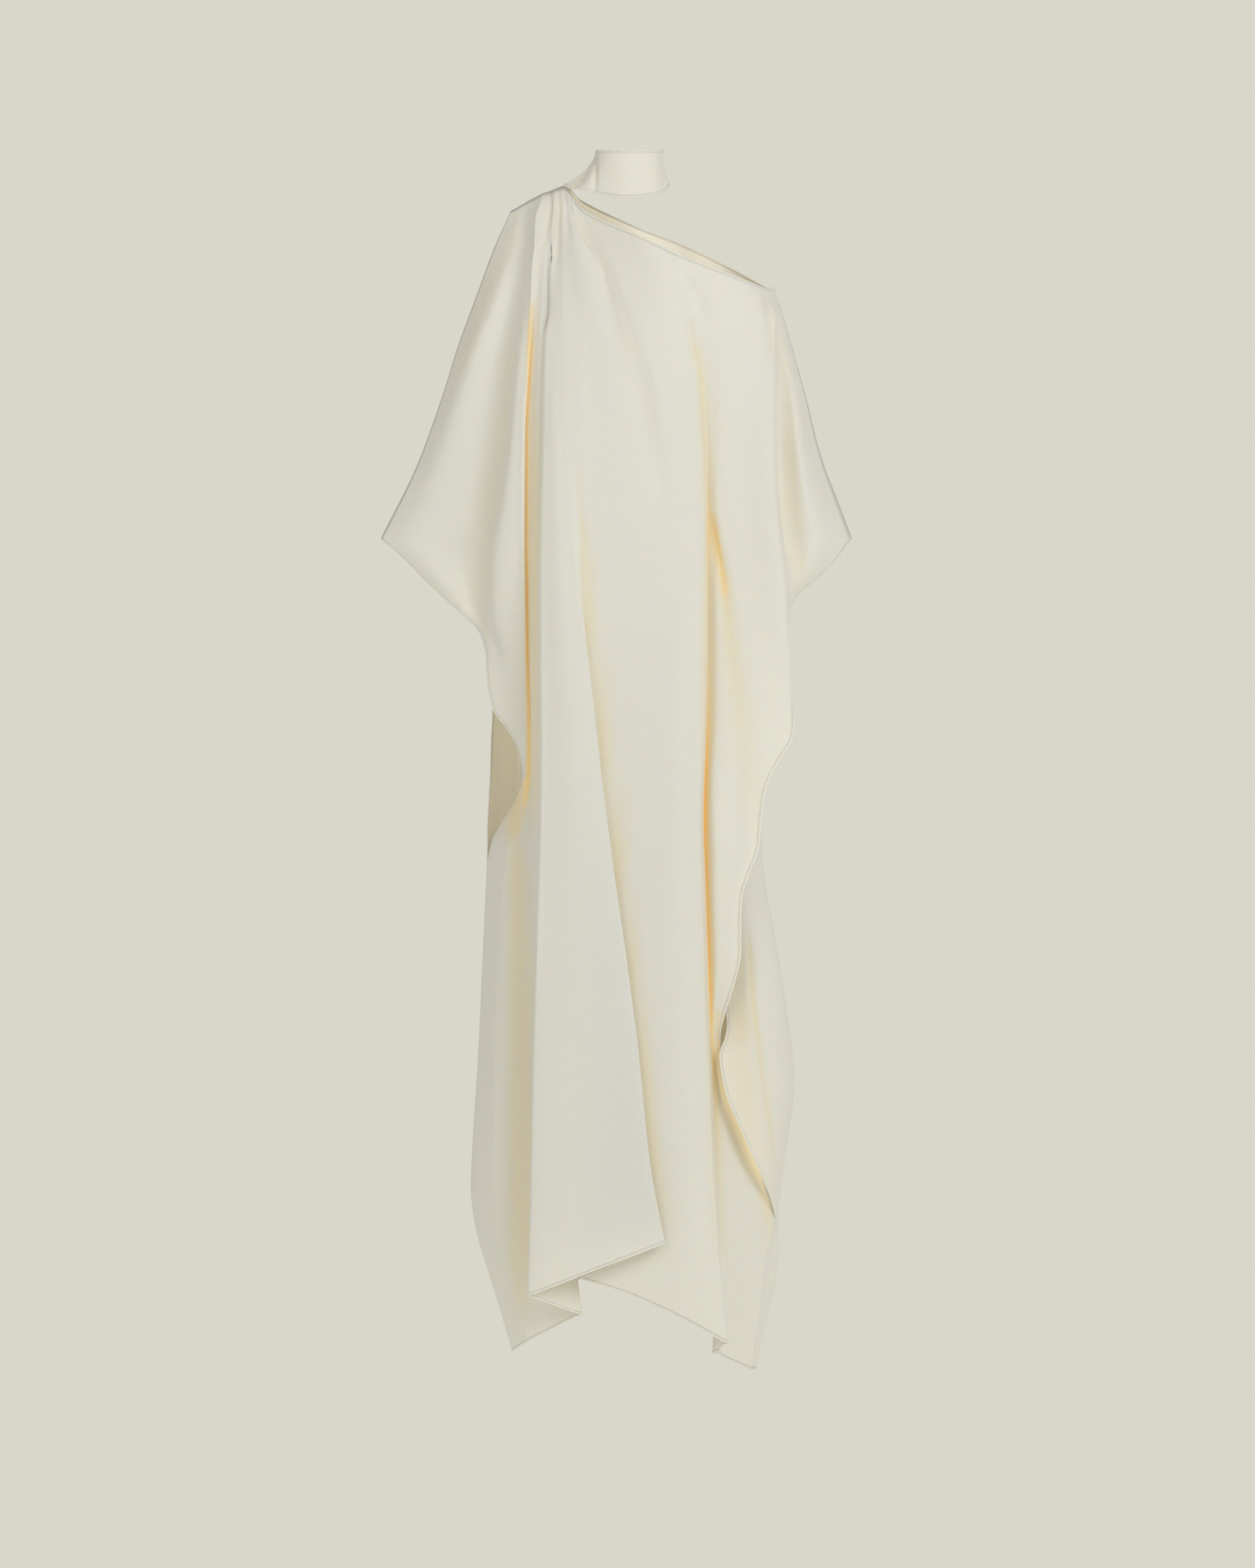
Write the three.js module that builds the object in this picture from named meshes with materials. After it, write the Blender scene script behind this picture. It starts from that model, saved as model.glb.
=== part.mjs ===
// One-shoulder kaftan of heavy crepe, floor length, with batwing sleeves cut in one with the body.
// Sizes are in millimetres. The origin is where the collar meets the shoulder seam, +x goes to the
// right of someone who faces the front, +y goes away from them to the back, and +z goes up.
import * as THREE from "three";

// Cloth: its wall, the gap at a seam, and the wider gap where a side slit meets its seam
const WALL = 1.6;
const SEAM_GAP = 0.3;
const SLIT_END_GAP = 3;
const IVORY = 0xe6e3d4;
const MATTE = 0.85;

// The tables below give each line as it is seen from the front, drawn to scale on the plane y = 0.
// A point in front of that plane is nearer to this eye, so it is a little smaller than it is drawn.
const EYE = new THREE.Vector3(79, -5200, -781);

// Heights between which the rows of the cloth are level: above them the rows follow the shoulder and
// the neckline, and below them they follow the hem
const YOKE_Z = -184;
const SKIRT_Z = -1348;

// Rows of the cloth: shares of the way down to the yoke, level rows, and shares of the way to the hem
const YOKE_SHARES = [0, 0.07, 0.17, 0.31, 0.48, 0.72];
const LEVEL_ROWS = [
  -184, -230, -285, -345, -403, -461, -505, -551, -602, -650, -698, -745, -771, -806, -845,
  -884, -940, -1000, -1060, -1111, -1150, -1200, -1250, -1300, -1348,
];
const HEM_SHARES = [0.3, 0.65, 1];

// A fold that has turned back on itself is a half round this deep that starts this far from its edge.
// It turns as it comes to pass over the line that it hides, between these two overlaps, and a bend
// takes up no more than this share of the way to the next line.
const FOLD_GAP = 7;
const FOLD_START = 8;
const TURN_OVERLAPS = [-6, 14];
const BEND_SHARE = 0.35;

// From this width on, the cloth between two lines stands back by the whole amount that its table gives
const WIDE_SPAN = 60;

// How much of a panel's top row still counts as shoulder past the end of the shoulder seam
const SHOULDER_SLACK = 0.5;

// Ways, as x, y and z, that the seams face: on top of the shoulder, and at the right side seam, which lies
// round the front corner of the body, with the way that the cloth crosses it
const SHOULDER_WAY = [-0.4, 0, 1];
const CORNER_WAY = [0.7, -0.7, 0];
const ROUND_CORNER = [0.7, 0.7, 0];

// Collar: a ring round the neck that widens to its foot, which runs out in a tongue to the shoulder
// seam. Each rim has its height at the sides, and others at the front and at the back. The tongue's
// width is in radians round the ring.
const COLLAR_X = 81;
const COLLAR_TOP = { radius: 43.5, side: 47, front: 40, back: 40 };
const COLLAR_FOOT = { radius: 53, side: 1.78, front: -23, back: 9 };
const COLLAR_COLUMNS = 30;
const COLLAR_ROWS = 6;
const TONGUE = { reach: 32, width: 0.6 };

function table(columns, ...rows) {
  const names = columns.split(" ");
  return rows.map((row) => Object.fromEntries(names.map((name, index) => [name, row[index]])));
}

// Seams and free edges that the front shares with the back
const OVERARM_LEFT = table("z x y",
  [-33, -73, 0], [-82, -95, 0], [-141, -117, 0], [-209, -142, 0], [-276, -163, 0], [-319, -178, 0],
  [-364, -195, 0], [-461, -243, 0]);
const SIDE_LEFT = table("z x y",
  [-884, -104, 0], [-1014, -110, 0], [-1124, -115, 0], [-1254, -123, 0], [-1309, -125, 0], [-1359, -119, 0],
  [-1419, -102, 0], [-1454, -91, 0], [-1522, -71, 0]);
const OVERARM_RIGHT = table("z x y",
  [-132, 270, 0], [-183, 286, 0], [-230, 299, 0], [-285, 314, 0], [-327, 324, 0], [-370, 337, 0],
  [-403, 350, 0], [-461, 372, 0]);
const SIDE_RIGHT = table("z x y",
  [-1348, 272, -38], [-1371, 268, -40], [-1386, 264, -42], [-1404, 259, -44], [-1419, 258, -45],
  [-1547, 241, -50]);

// Free edges of the sleeves and side slits
const FRONT_FREE_LEFT = table("z x y",
  [-461, -243, 0], [-482, -218, -14], [-520, -180, -26], [-564, -134, -36], [-585, -117, -40],
  [-612, -107, -44], [-649, -104, -48], [-683, -97, -52], [-705, -81, -50], [-728, -67, -44],
  [-750, -60, -38], [-771, -57, -30], [-788, -61, -24], [-806, -69, -18], [-831, -85, -10],
  [-857, -98, -4], [-884, -104, 0]);
const FRONT_FREE_RIGHT = table("z x y",
  [-461, 372, 0], [-490, 350, -20], [-520, 320, -36], [-551, 292, -52], [-593, 286, -60],
  [-640, 289, -66], [-683, 294, -72], [-707, 297, -75], [-722, 294, -77], [-745, 280, -80],
  [-773, 265, -83], [-798, 257, -85], [-825, 254, -86], [-866, 250, -87], [-895, 239, -88],
  [-927, 229, -90], [-956, 227, -90], [-1000, 227, -90], [-1040, 219, -86], [-1082, 206, -76],
  [-1111, 200, -69], [-1133, 204, -66], [-1182, 223, -62], [-1239, 245, -56], [-1286, 254, -56],
  [-1348, 272, -38]);
const BACK_FREE_LEFT = table("z x y",
  [-461, -243, 0], [-484, -218, 12], [-523, -180, 22], [-569, -134, 32], [-598, -113, 36],
  [-631, -104, 40], [-659, -99, 42], [-684, -97, 42], [-726, -99, 36], [-763, -100, 28],
  [-802, -102, 18], [-848, -104, 8], [-884, -104, 0]);
const BACK_FREE_RIGHT = table("z x y",
  [-461, 372, 0], [-490, 343, 10], [-520, 313, 8], [-551, 286, 0], [-593, 259, -12],
  [-669, 240, -30], [-783, 225, -40], [-897, 216, -46], [-1001, 211, -50], [-1063, 206, -56],
  [-1096, 209, -64], [-1115, 206, -86], [-1134, 199, -102], [-1185, 208, -112], [-1228, 226, -110],
  [-1278, 248, -94], [-1308, 261, -74], [-1340, 271, -46], [-1348, 272, -38]);

// Folds of the front, from the shoulder or the neckline to the hem
const CREST_LEFT = table("z x y",
  [-10, -32, 0], [-21, -34, -28], [-39, -40, -46], [-77, -42, -62], [-107, -45, -70], [-158, -47, -82],
  [-192, -48, -88], [-259, -53, -95], [-319, -56, -99], [-422, -57, -101], [-517, -56, -92],
  [-612, -54, -76], [-698, -53, -66], [-763, -53, -62], [-811, -57, -60], [-884, -71, -60],
  [-1001, -83, -62], [-1130, -86, -64], [-1348, -81, -66], [-1510, -53, -62]);
const VALLEY_LEFT = table("z x y",
  [-8, -26, 0], [-19, -28, -20], [-42, -33, -32], [-80, -37, -52], [-137, -41, -68], [-192, -46, -78],
  [-251, -50, -82], [-327, -54, -86], [-461, -54, -86], [-517, -53, -78], [-612, -51, -66],
  [-698, -48, -62], [-764, -47, -64], [-821, -46, -72], [-884, -46, -80], [-1001, -39, -90],
  [-1130, -26, -96], [-1248, -10, -102], [-1348, 4, -106], [-1474, 19, -108]);
const RIDGE_LEFT = table("z x y",
  [-5, -18, 0], [-19, -17, -28], [-42, -18, -44], [-77, -20, -62], [-137, -24, -84], [-184, -26, -98],
  [-251, -29, -112], [-327, -31, -122], [-461, -34, -130], [-612, -34, -134], [-741, -33, -137],
  [-827, -34, -139], [-935, -37, -142], [-1134, -44, -147], [-1348, -48, -152], [-1450, -51, -155]);
const PLEAT = table("z x y",
  [-2, -10, 0], [-19, -8, -26], [-42, -7, -42], [-80, -5, -64], [-137, -5, -92], [-184, -5, -107],
  [-251, -4, -122], [-327, -1, -133], [-454, 10, -140], [-539, 17, -143], [-623, 28, -146],
  [-709, 38, -148], [-797, 48, -150], [-903, 62, -152], [-1022, 79, -153], [-1132, 93, -154],
  [-1276, 108, -156], [-1359, 123, -158], [-1381, 128, -159]);
const TUCK = table("z x y",
  [0, -3, 0], [-19, 4, -30], [-42, 9, -47], [-80, 14, -70], [-137, 18, -98], [-184, 20, -112],
  [-251, 20, -126], [-327, 20, -134], [-422, 19, -135], [-517, 19, -133], [-623, 20, -133],
  [-709, 22, -134], [-903, 26, -135], [-1132, 28, -136], [-1359, 22, -138], [-1427, 17, -138]);
const BODICE = table("z x y",
  [-30, 19, -34], [-61, 32, -56], [-94, 52, -82], [-141, 70, -104], [-192, 86, -118], [-242, 102, -124],
  [-297, 111, -128], [-361, 117, -131], [-461, 119, -134], [-612, 115, -137], [-802, 107, -139],
  [-992, 102, -140], [-1182, 100, -139], [-1348, 102, -136], [-1450, 86, -134]);
const SIDE_FRONT = table("z x y",
  [-66, 96, -90], [-118, 117, -108], [-184, 132, -116], [-289, 143, -120], [-461, 151, -130],
  [-612, 151, -138], [-802, 147, -143], [-992, 147, -145], [-1182, 151, -146], [-1348, 157, -146],
  [-1481, 153, -146]);
const RIDGE_RIGHT = table("z x y",
  [-88, 143, -98], [-124, 150, -104], [-184, 158, -109], [-268, 170, -113], [-361, 176, -118],
  [-461, 179, -124], [-574, 180, -128], [-669, 179, -130], [-830, 173, -132], [-897, 175, -133],
  [-992, 178, -134], [-1087, 181, -136], [-1163, 185, -137], [-1239, 188, -138], [-1372, 196, -142],
  [-1512, 211, -150]);
const VALLEY_RIGHT = table("z x y",
  [-95, 160, -98], [-150, 169, -105], [-184, 171, -104], [-232, 178, -100], [-289, 182, -94],
  [-365, 184, -90], [-461, 184, -86], [-574, 184, -84], [-669, 183, -82], [-830, 179, -78],
  [-897, 181, -78], [-992, 184, -80], [-1087, 187, -82], [-1163, 191, -88], [-1239, 196, -94],
  [-1348, 200, -102], [-1524, 190, -118]);
const CREST_RIGHT = table("z x y",
  [-135, 263, -45], [-175, 273, -66], [-256, 273, -80], [-297, 271, -86], [-361, 272, -92],
  [-454, 277, -98], [-539, 284, -98], [-602, 289, -92], [-657, 292, -83], [-707, 292, -75]);

// Between two lines: height, share of the way from one to the other, and how far the cloth stands back
// from the straight way between them where they are WIDE_SPAN or more apart. On a narrow span it stands
// back less.
const ARM_FRONT = table("z share back",
  [-22, 0.3, 0], [-80, 0.45, 3], [-136, 0.36, -8], [-232, 0.235, -21], [-327, 0.2, -15],
  [-422, 0.2, -6], [-500, 0.15, -3], [-574, 0.12, 0], [-650, 0.2, 0], [-771, 0.2, 0], [-884, 0.2, -20],
  [-1522, 0.2, -20]);
const FLY_FRONT = table("z share back",
  [-18, 0.55, 4], [-80, 0.77, 17], [-136, 0.7, 16], [-232, 0.56, 6], [-327, 0.58, 12], [-422, 0.6, 17],
  [-500, 0.45, 9], [-574, 0.25, 1], [-650, 0.4, 0], [-771, 0.5, 0], [-884, 0.5, -22], [-1522, 0.5, -22]);
const TROUGH_FRONT = table("z share back",
  [-14, 0.8, 3], [-80, 0.93, 8], [-136, 0.92, 4], [-232, 0.86, -7], [-327, 0.85, -8], [-422, 0.82, -9],
  [-500, 0.7, -12], [-574, 0.5, -10], [-650, 0.6, 0], [-771, 0.75, 0], [-884, 0.75, -18],
  [-1522, 0.75, -18]);
const BELLY_FRONT = table("z share back",
  [-3, 0.5, 0], [-42, 0.5, 20], [-80, 0.5, 15], [-184, 0.5, 0], [-461, 0.5, -7], [-1450, 0.5, -5]);
const WING_FRONT = table("z share back",
  [-109, 0.36, -17], [-184, 0.3, -8], [-289, 0.2, -8], [-461, 0.15, -10], [-707, 0.13, -15],
  [-956, 0.3, -24], [-1133, 0.35, -15], [-1348, 0.35, -2], [-1540, 0.35, 0]);
const WING_SIDE_FRONT = table("z share back",
  [-124, 0.72, -20], [-184, 0.68, -8], [-289, 0.58, -4], [-461, 0.55, -5], [-707, 0.55, -12],
  [-956, 0.7, -16], [-1133, 0.7, -8], [-1348, 0.7, -3], [-1540, 0.7, -2]);
const BAND_RIGHT = table("z share back",
  [-133, 0.2, 20], [-184, 0.15, 32], [-232, 0.15, 36], [-370, 0.11, 34], [-461, 0.14, 32],
  [-520, 0.28, 14], [-551, 0.35, 4], [-1547, 0.5, 0]);
const CUFF_RIGHT = table("z share back",
  [-132, 0.6, -10], [-184, 0.6, -20], [-232, 0.6, -23], [-370, 0.52, -20], [-461, 0.48, -8],
  [-520, 0.66, 0], [-551, 0.7, 0], [-1547, 0.8, 0]);

// Below the crest on the right the cloth near its free edge is this share of the way to the valley
const EDGE_WIDTH = table("z share",
  [-707, 0.046], [-770, 0.13], [-1000, 0.2], [-1348, 0.35], [-1547, 0.4]);

// Lines of the back, from the shoulder or the neckline to the hem
const CREST_BACK_LEFT = table("z x y",
  [-10, -32, 0], [-24, -36, 30], [-60, -42, 52], [-184, -50, 86], [-461, -62, 94], [-707, -62, 86],
  [-884, -66, 80], [-1348, -72, 84], [-1500, -60, 86]);
const VALLEY_BACK_LEFT = table("z x y",
  [-8, -26, 0], [-24, -26, 26], [-60, -26, 48], [-184, -30, 80], [-300, -36, 66], [-612, -36, 62],
  [-884, -34, 74], [-1348, -28, 92], [-1478, -26, 96]);
const RIDGE_BACK_LEFT = table("z x y",
  [-5, -18, 0], [-24, -14, 32], [-60, -10, 58], [-184, -6, 104], [-461, -10, 122], [-884, -12, 132],
  [-1348, -12, 142], [-1450, -10, 144]);
const HOLLOW_BACK_LEFT = table("z x y",
  [0, -3, 0], [-24, 6, 30], [-60, 14, 56], [-184, 26, 108], [-461, 24, 112], [-884, 24, 112],
  [-1348, 24, 116], [-1424, 24, 116]);
const MIDDLE_BACK = table("z x y",
  [-20, 19, 30], [-50, 44, 64], [-100, 62, 96], [-184, 74, 114], [-461, 76, 126], [-884, 80, 136],
  [-1348, 84, 148], [-1418, 84, 150]);
const HOLLOW_BACK_RIGHT = table("z x y",
  [-56, 96, 80], [-110, 112, 98], [-184, 122, 108], [-461, 124, 112], [-884, 126, 114], [-1348, 130, 120],
  [-1434, 130, 120]);
const RIDGE_BACK_RIGHT = table("z x y",
  [-74, 143, 89], [-120, 152, 100], [-184, 160, 102], [-461, 168, 118], [-884, 168, 128], [-1348, 172, 138],
  [-1470, 176, 140]);
const VALLEY_BACK_RIGHT = table("z x y",
  [-84, 166, 86], [-130, 176, 92], [-184, 180, 90], [-300, 188, 68], [-612, 190, 62], [-884, 190, 72],
  [-1348, 196, 90], [-1490, 200, 94]);
const CREST_BACK_RIGHT = table("z x y",
  [-108, 215, 76], [-150, 226, 84], [-184, 232, 82], [-461, 240, 92], [-707, 226, 80], [-884, 230, 70],
  [-1348, 240, 74], [-1520, 226, 74]);
const TURN_RIGHT = table("z x y",
  [-136, 268, 14], [-184, 280, 30], [-327, 313, 28], [-461, 352, 14], [-517, 305, 22], [-551, 282, 22],
  [-593, 267, 18], [-669, 254, 8], [-783, 251, -2], [-883, 255, -8], [-929, 261, -12], [-997, 274, -18],
  [-1074, 286, -24], [-1132, 294, -28], [-1175, 296, -30], [-1245, 288, -28], [-1309, 279, -24],
  [-1348, 276, -16], [-1390, 276, -14], [-1419, 274, -14], [-1454, 267, -14], [-1495, 258, -15],
  [-1545, 246, -22]);
const ARM_BACK = table("z share back",
  [-27, 0.35, 0], [-60, 0.35, 24], [-184, 0.3, 22], [-327, 0.25, 18], [-461, 0.2, 4], [-612, 0.3, 2],
  [-771, 0.4, 10], [-884, 0.35, 16], [-1522, 0.35, 16]);
const FLY_BACK = table("z share back",
  [-20, 0.65, 0], [-60, 0.65, 14], [-184, 0.65, 12], [-461, 0.6, 4], [-612, 0.7, 6], [-884, 0.7, 12],
  [-1522, 0.7, 12]);
const FLAP_RIGHT = table("z share back",
  [-136, 0.5, 0], [-184, 0.5, 4], [-461, 0.5, 2], [-783, 0.5, -4], [-1001, 0.5, -16], [-1063, 0.5, -20],
  [-1134, 0.5, -22], [-1228, 0.5, -20], [-1308, 0.5, -12], [-1348, 0.5, 0], [-1545, 0.5, 0]);

// A number of one column at a height, on a smooth line that never swings past its rows
function smoothAt(rows, column, z) {
  const last = rows.length - 1;
  if (z >= rows[0].z) return rows[0][column];
  if (z <= rows[last].z) return rows[last][column];
  const slope = (index) => {
    const low = Math.min(Math.max(index, 0), last - 1);
    return (rows[low + 1][column] - rows[low][column]) / (rows[low + 1].z - rows[low].z);
  };
  const bend = (index) => {
    const before = slope(index - 1);
    const after = slope(index);
    return before * after <= 0 ? 0 : (2 * before * after) / (before + after);
  };
  const next = rows.findIndex((row) => row.z <= z);
  const start = next - 1;
  const length = rows[next].z - rows[start].z;
  const share = (z - rows[start].z) / length;
  const leftover = 1 - share;
  return (
    rows[start][column] * (1 + 2 * share) * leftover ** 2 +
    bend(start) * length * share * leftover ** 2 +
    rows[next][column] * share ** 2 * (3 - 2 * share) -
    bend(next) * length * share ** 2 * leftover
  );
}

// A line is one table, or several that meet at corners. A row of the cloth meets it at one height.
function heightOn(pieces, row) {
  const top = pieces[0][0].z;
  const hem = pieces.at(-1).at(-1).z;
  if (row.zone === "yoke") return top + (YOKE_Z - top) * row.share;
  if (row.zone === "hem") return SKIRT_Z + (hem - SKIRT_Z) * row.share;
  return row.z;
}

function pointOn(pieces, row) {
  const z = heightOn(pieces, row);
  const piece = pieces.find((rows) => z >= rows.at(-1).z) ?? pieces.at(-1);
  return new THREE.Vector3(smoothAt(piece, "x", z), smoothAt(piece, "y", z), z);
}

// A point between two lines, standing out from the straight way between them
function pointBetween(from, to, rows) {
  const middle = (from.z + to.z) / 2;
  const point = from.clone().lerp(to, smoothAt(rows, "share", middle));
  const fullness = Math.min(Math.abs(to.x - from.x) / WIDE_SPAN, 1);
  point.y += smoothAt(rows, "back", middle) * fullness;
  return point;
}

const ROWS = [
  ...YOKE_SHARES.map((share) => ({ zone: "yoke", share })),
  ...LEVEL_ROWS.map((z) => ({ zone: "level", z })),
  ...HEM_SHARES.map((share) => ({ zone: "hem", share })),
];

// Where a fold passes over the line that it hides, it turns back in a half round, and elsewhere it is a
// soft bend. side is the way that the fold points in x, and goesBack says whether its far layer comes last.
function foldPoints(before, fold, after, side, goesBack, hidden) {
  const overlap = side * (fold.x - hidden.x);
  const turned = THREE.MathUtils.smoothstep(overlap, ...TURN_OVERLAPS);
  const towards = (neighbour, far) => {
    const reach = Math.min(FOLD_START, BEND_SHARE * fold.distanceTo(neighbour));
    const soft = fold.clone().lerp(neighbour, reach / fold.distanceTo(neighbour));
    const tight = new THREE.Vector3(fold.x - side * FOLD_START, fold.y + (far ? FOLD_GAP : 0), soft.z);
    return soft.lerp(tight, turned);
  };
  const edge = fold.clone();
  edge.y += (turned * FOLD_GAP) / 2;
  return [towards(before, !goesBack), edge, towards(after, goesBack)];
}

function frontSection(row) {
  const edgeLeft = pointOn([OVERARM_LEFT, FRONT_FREE_LEFT, SIDE_LEFT], row);
  const crestLeft = pointOn([CREST_LEFT], row);
  const valleyLeft = pointOn([VALLEY_LEFT], row);
  const ridgeLeft = pointOn([RIDGE_LEFT], row);
  const pleat = pointOn([PLEAT], row);
  const tuck = pointOn([TUCK], row);
  const bodice = pointOn([BODICE], row);
  const sideFront = pointOn([SIDE_FRONT], row);
  const ridgeRight = pointOn([RIDGE_RIGHT], row);
  const valleyRight = pointOn([VALLEY_RIGHT], row);
  const edgeRight = pointOn([OVERARM_RIGHT, FRONT_FREE_RIGHT, SIDE_RIGHT], row);
  const lastCrest = CREST_RIGHT.at(-1);
  const crestRight = pointOn([CREST_RIGHT], row);
  if (edgeRight.z < lastCrest.z) {
    crestRight.copy(edgeRight).lerp(valleyRight, smoothAt(EDGE_WIDTH, "share", edgeRight.z));
  }

  const arm = pointBetween(edgeLeft, crestLeft, ARM_FRONT);
  const fly = pointBetween(edgeLeft, crestLeft, FLY_FRONT);
  const trough = pointBetween(edgeLeft, crestLeft, TROUGH_FRONT);
  const belly = pointBetween(ridgeLeft, pleat, BELLY_FRONT);
  const wing = pointBetween(valleyRight, crestRight, WING_FRONT);
  const wingSide = pointBetween(valleyRight, crestRight, WING_SIDE_FRONT);
  const band = pointBetween(crestRight, edgeRight, BAND_RIGHT);
  const cuff = pointBetween(crestRight, edgeRight, CUFF_RIGHT);

  return [
    { steps: 2, points: [edgeLeft, arm, fly, trough] },
    { steps: 1, points: foldPoints(trough, crestLeft, valleyLeft, 1, true, valleyLeft) },
    { steps: 1, points: foldPoints(crestLeft, valleyLeft, ridgeLeft, 1, false, ridgeLeft) },
    { steps: 1, points: foldPoints(valleyLeft, ridgeLeft, belly, -1, false, valleyLeft) },
    { steps: 2, points: [belly] },
    { steps: 1, points: foldPoints(belly, pleat, tuck, 1, true, tuck) },
    { steps: 1, points: foldPoints(pleat, tuck, bodice, -1, true, pleat) },
    { steps: 2, points: [bodice, sideFront] },
    { steps: 1, points: foldPoints(sideFront, ridgeRight, valleyRight, 1, true, valleyRight) },
    { steps: 1, points: foldPoints(ridgeRight, valleyRight, wing, -1, true, ridgeRight) },
    { steps: 2, points: [wing, wingSide, crestRight, band, cuff, edgeRight] },
  ];
}

function backSection(row) {
  const edgeLeft = pointOn([OVERARM_LEFT, BACK_FREE_LEFT, SIDE_LEFT], row);
  const crestLeft = pointOn([CREST_BACK_LEFT], row);
  const crestRight = pointOn([CREST_BACK_RIGHT], row);
  const turn = pointOn([TURN_RIGHT], row);
  const edgeRight = pointOn([OVERARM_RIGHT, BACK_FREE_RIGHT, SIDE_RIGHT], row);
  const arm = pointBetween(edgeLeft, crestLeft, ARM_BACK);
  const fly = pointBetween(edgeLeft, crestLeft, FLY_BACK);
  const flap = pointBetween(turn, edgeRight, FLAP_RIGHT);
  return [
    { steps: 2, points: [edgeLeft, arm, fly] },
    {
      steps: 3,
      points: [
        crestLeft,
        pointOn([VALLEY_BACK_LEFT], row),
        pointOn([RIDGE_BACK_LEFT], row),
        pointOn([HOLLOW_BACK_LEFT], row),
        pointOn([MIDDLE_BACK], row),
        pointOn([HOLLOW_BACK_RIGHT], row),
        pointOn([RIDGE_BACK_RIGHT], row),
        pointOn([VALLEY_BACK_RIGHT], row),
        crestRight,
      ],
    },
    { steps: 2, points: [turn, flap, edgeRight] },
  ];
}

// One row of the cloth: a smooth curve through the section's points, at its true size
function rowOfCloth(section) {
  const points = section.flatMap((stretch) => stretch.points);
  const steps = section.flatMap((stretch) => stretch.points.map(() => stretch.steps));
  const curve = new THREE.CatmullRomCurve3(points, false, "centripetal");
  const row = [];
  for (let span = 0; span < points.length - 1; span += 1) {
    for (let step = 0; step < steps[span]; step += 1) {
      row.push(curve.getPoint((span + step / steps[span]) / (points.length - 1)));
    }
  }
  row.push(points.at(-1).clone());
  return row.map((drawn) => {
    const scale = 1 - drawn.y / EYE.y;
    return new THREE.Vector3(EYE.x + (drawn.x - EYE.x) * scale, drawn.y, EYE.z + (drawn.z - EYE.z) * scale);
  });
}

// The way that a path runs at a point, halfway between its ways in and out
function heading(before, point, after) {
  const way = new THREE.Vector3();
  if (before) way.add(point.clone().sub(before).normalize());
  if (after) way.add(after.clone().sub(point).normalize());
  return way;
}

// The way the cloth faces at each point of a grid of rows
function facings(grid, closed) {
  return grid.map((row, r) => row.map((point, c) => {
    const count = row.length;
    const left = closed ? row[(c + count - 1) % count] : row[c - 1];
    const right = closed ? row[(c + 1) % count] : row[c + 1];
    const down = heading(grid[r - 1]?.[c], point, grid[r + 1]?.[c]);
    return down.cross(heading(left, point, right)).normalize();
  }));
}

// A seam runs through these cells of a piece. Both pieces face one way there, square to the seam and to
// the way that the cloth crosses it, and each stands half the gap back from it.
function setSeam(grid, facing, cells, across, outwards, topGap = SEAM_GAP) {
  cells.forEach(([r, c], index) => {
    const [r0, c0] = cells[Math.max(index - 1, 0)];
    const [r1, c1] = cells[Math.min(index + 1, cells.length - 1)];
    const along = grid[r1][c1].clone().sub(grid[r0][c0]);
    const normal = along.cross(across).normalize();
    if (normal.dot(outwards) < 0) normal.negate();
    facing[r][c].copy(normal);
  });
  cells.forEach(([r, c], index) => {
    grid[r][c].addScaledVector(across, (index === 0 ? topGap : SEAM_GAP) / 2);
  });
}

// A closed wall of even thickness round a grid of points, with its rims
function wallGeometry(grid, facing, closed) {
  const rows = grid.length;
  const columns = grid[0].length;
  const positions = [];
  for (const side of [1, -1]) {
    grid.forEach((row, r) => row.forEach((point, c) => {
      positions.push(...point.clone().addScaledVector(facing[r][c], (side * WALL) / 2).toArray());
    }));
  }
  const outer = (r, c) => r * columns + (c % columns);
  const inner = (r, c) => rows * columns + outer(r, c);
  const faces = [];
  const quad = (a, b, c, d) => faces.push(a, b, c, a, c, d);
  const spans = closed ? columns : columns - 1;
  for (let r = 0; r < rows - 1; r += 1) {
    for (let c = 0; c < spans; c += 1) {
      quad(outer(r, c), outer(r + 1, c), outer(r + 1, c + 1), outer(r, c + 1));
      quad(inner(r, c), inner(r, c + 1), inner(r + 1, c + 1), inner(r + 1, c));
    }
  }
  for (let c = 0; c < spans; c += 1) {
    quad(outer(0, c), outer(0, c + 1), inner(0, c + 1), inner(0, c));
    quad(outer(rows - 1, c), inner(rows - 1, c), inner(rows - 1, c + 1), outer(rows - 1, c + 1));
  }
  if (!closed) {
    for (let r = 0; r < rows - 1; r += 1) {
      quad(outer(r, 0), inner(r, 0), inner(r + 1, 0), outer(r + 1, 0));
      quad(outer(r, spans), outer(r + 1, spans), inner(r + 1, spans), inner(r, spans));
    }
  }
  const geometry = new THREE.BufferGeometry();
  geometry.setAttribute("position", new THREE.Float32BufferAttribute(positions, 3));
  geometry.setIndex(faces);
  geometry.computeVertexNormals();
  return geometry;
}

const crepe = () => new THREE.MeshStandardMaterial({ color: IVORY, roughness: MATTE, metalness: 0 });

function clothPiece(name, geometry) {
  const mesh = new THREE.Mesh(geometry, crepe());
  mesh.name = name;
  return mesh;
}

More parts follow.
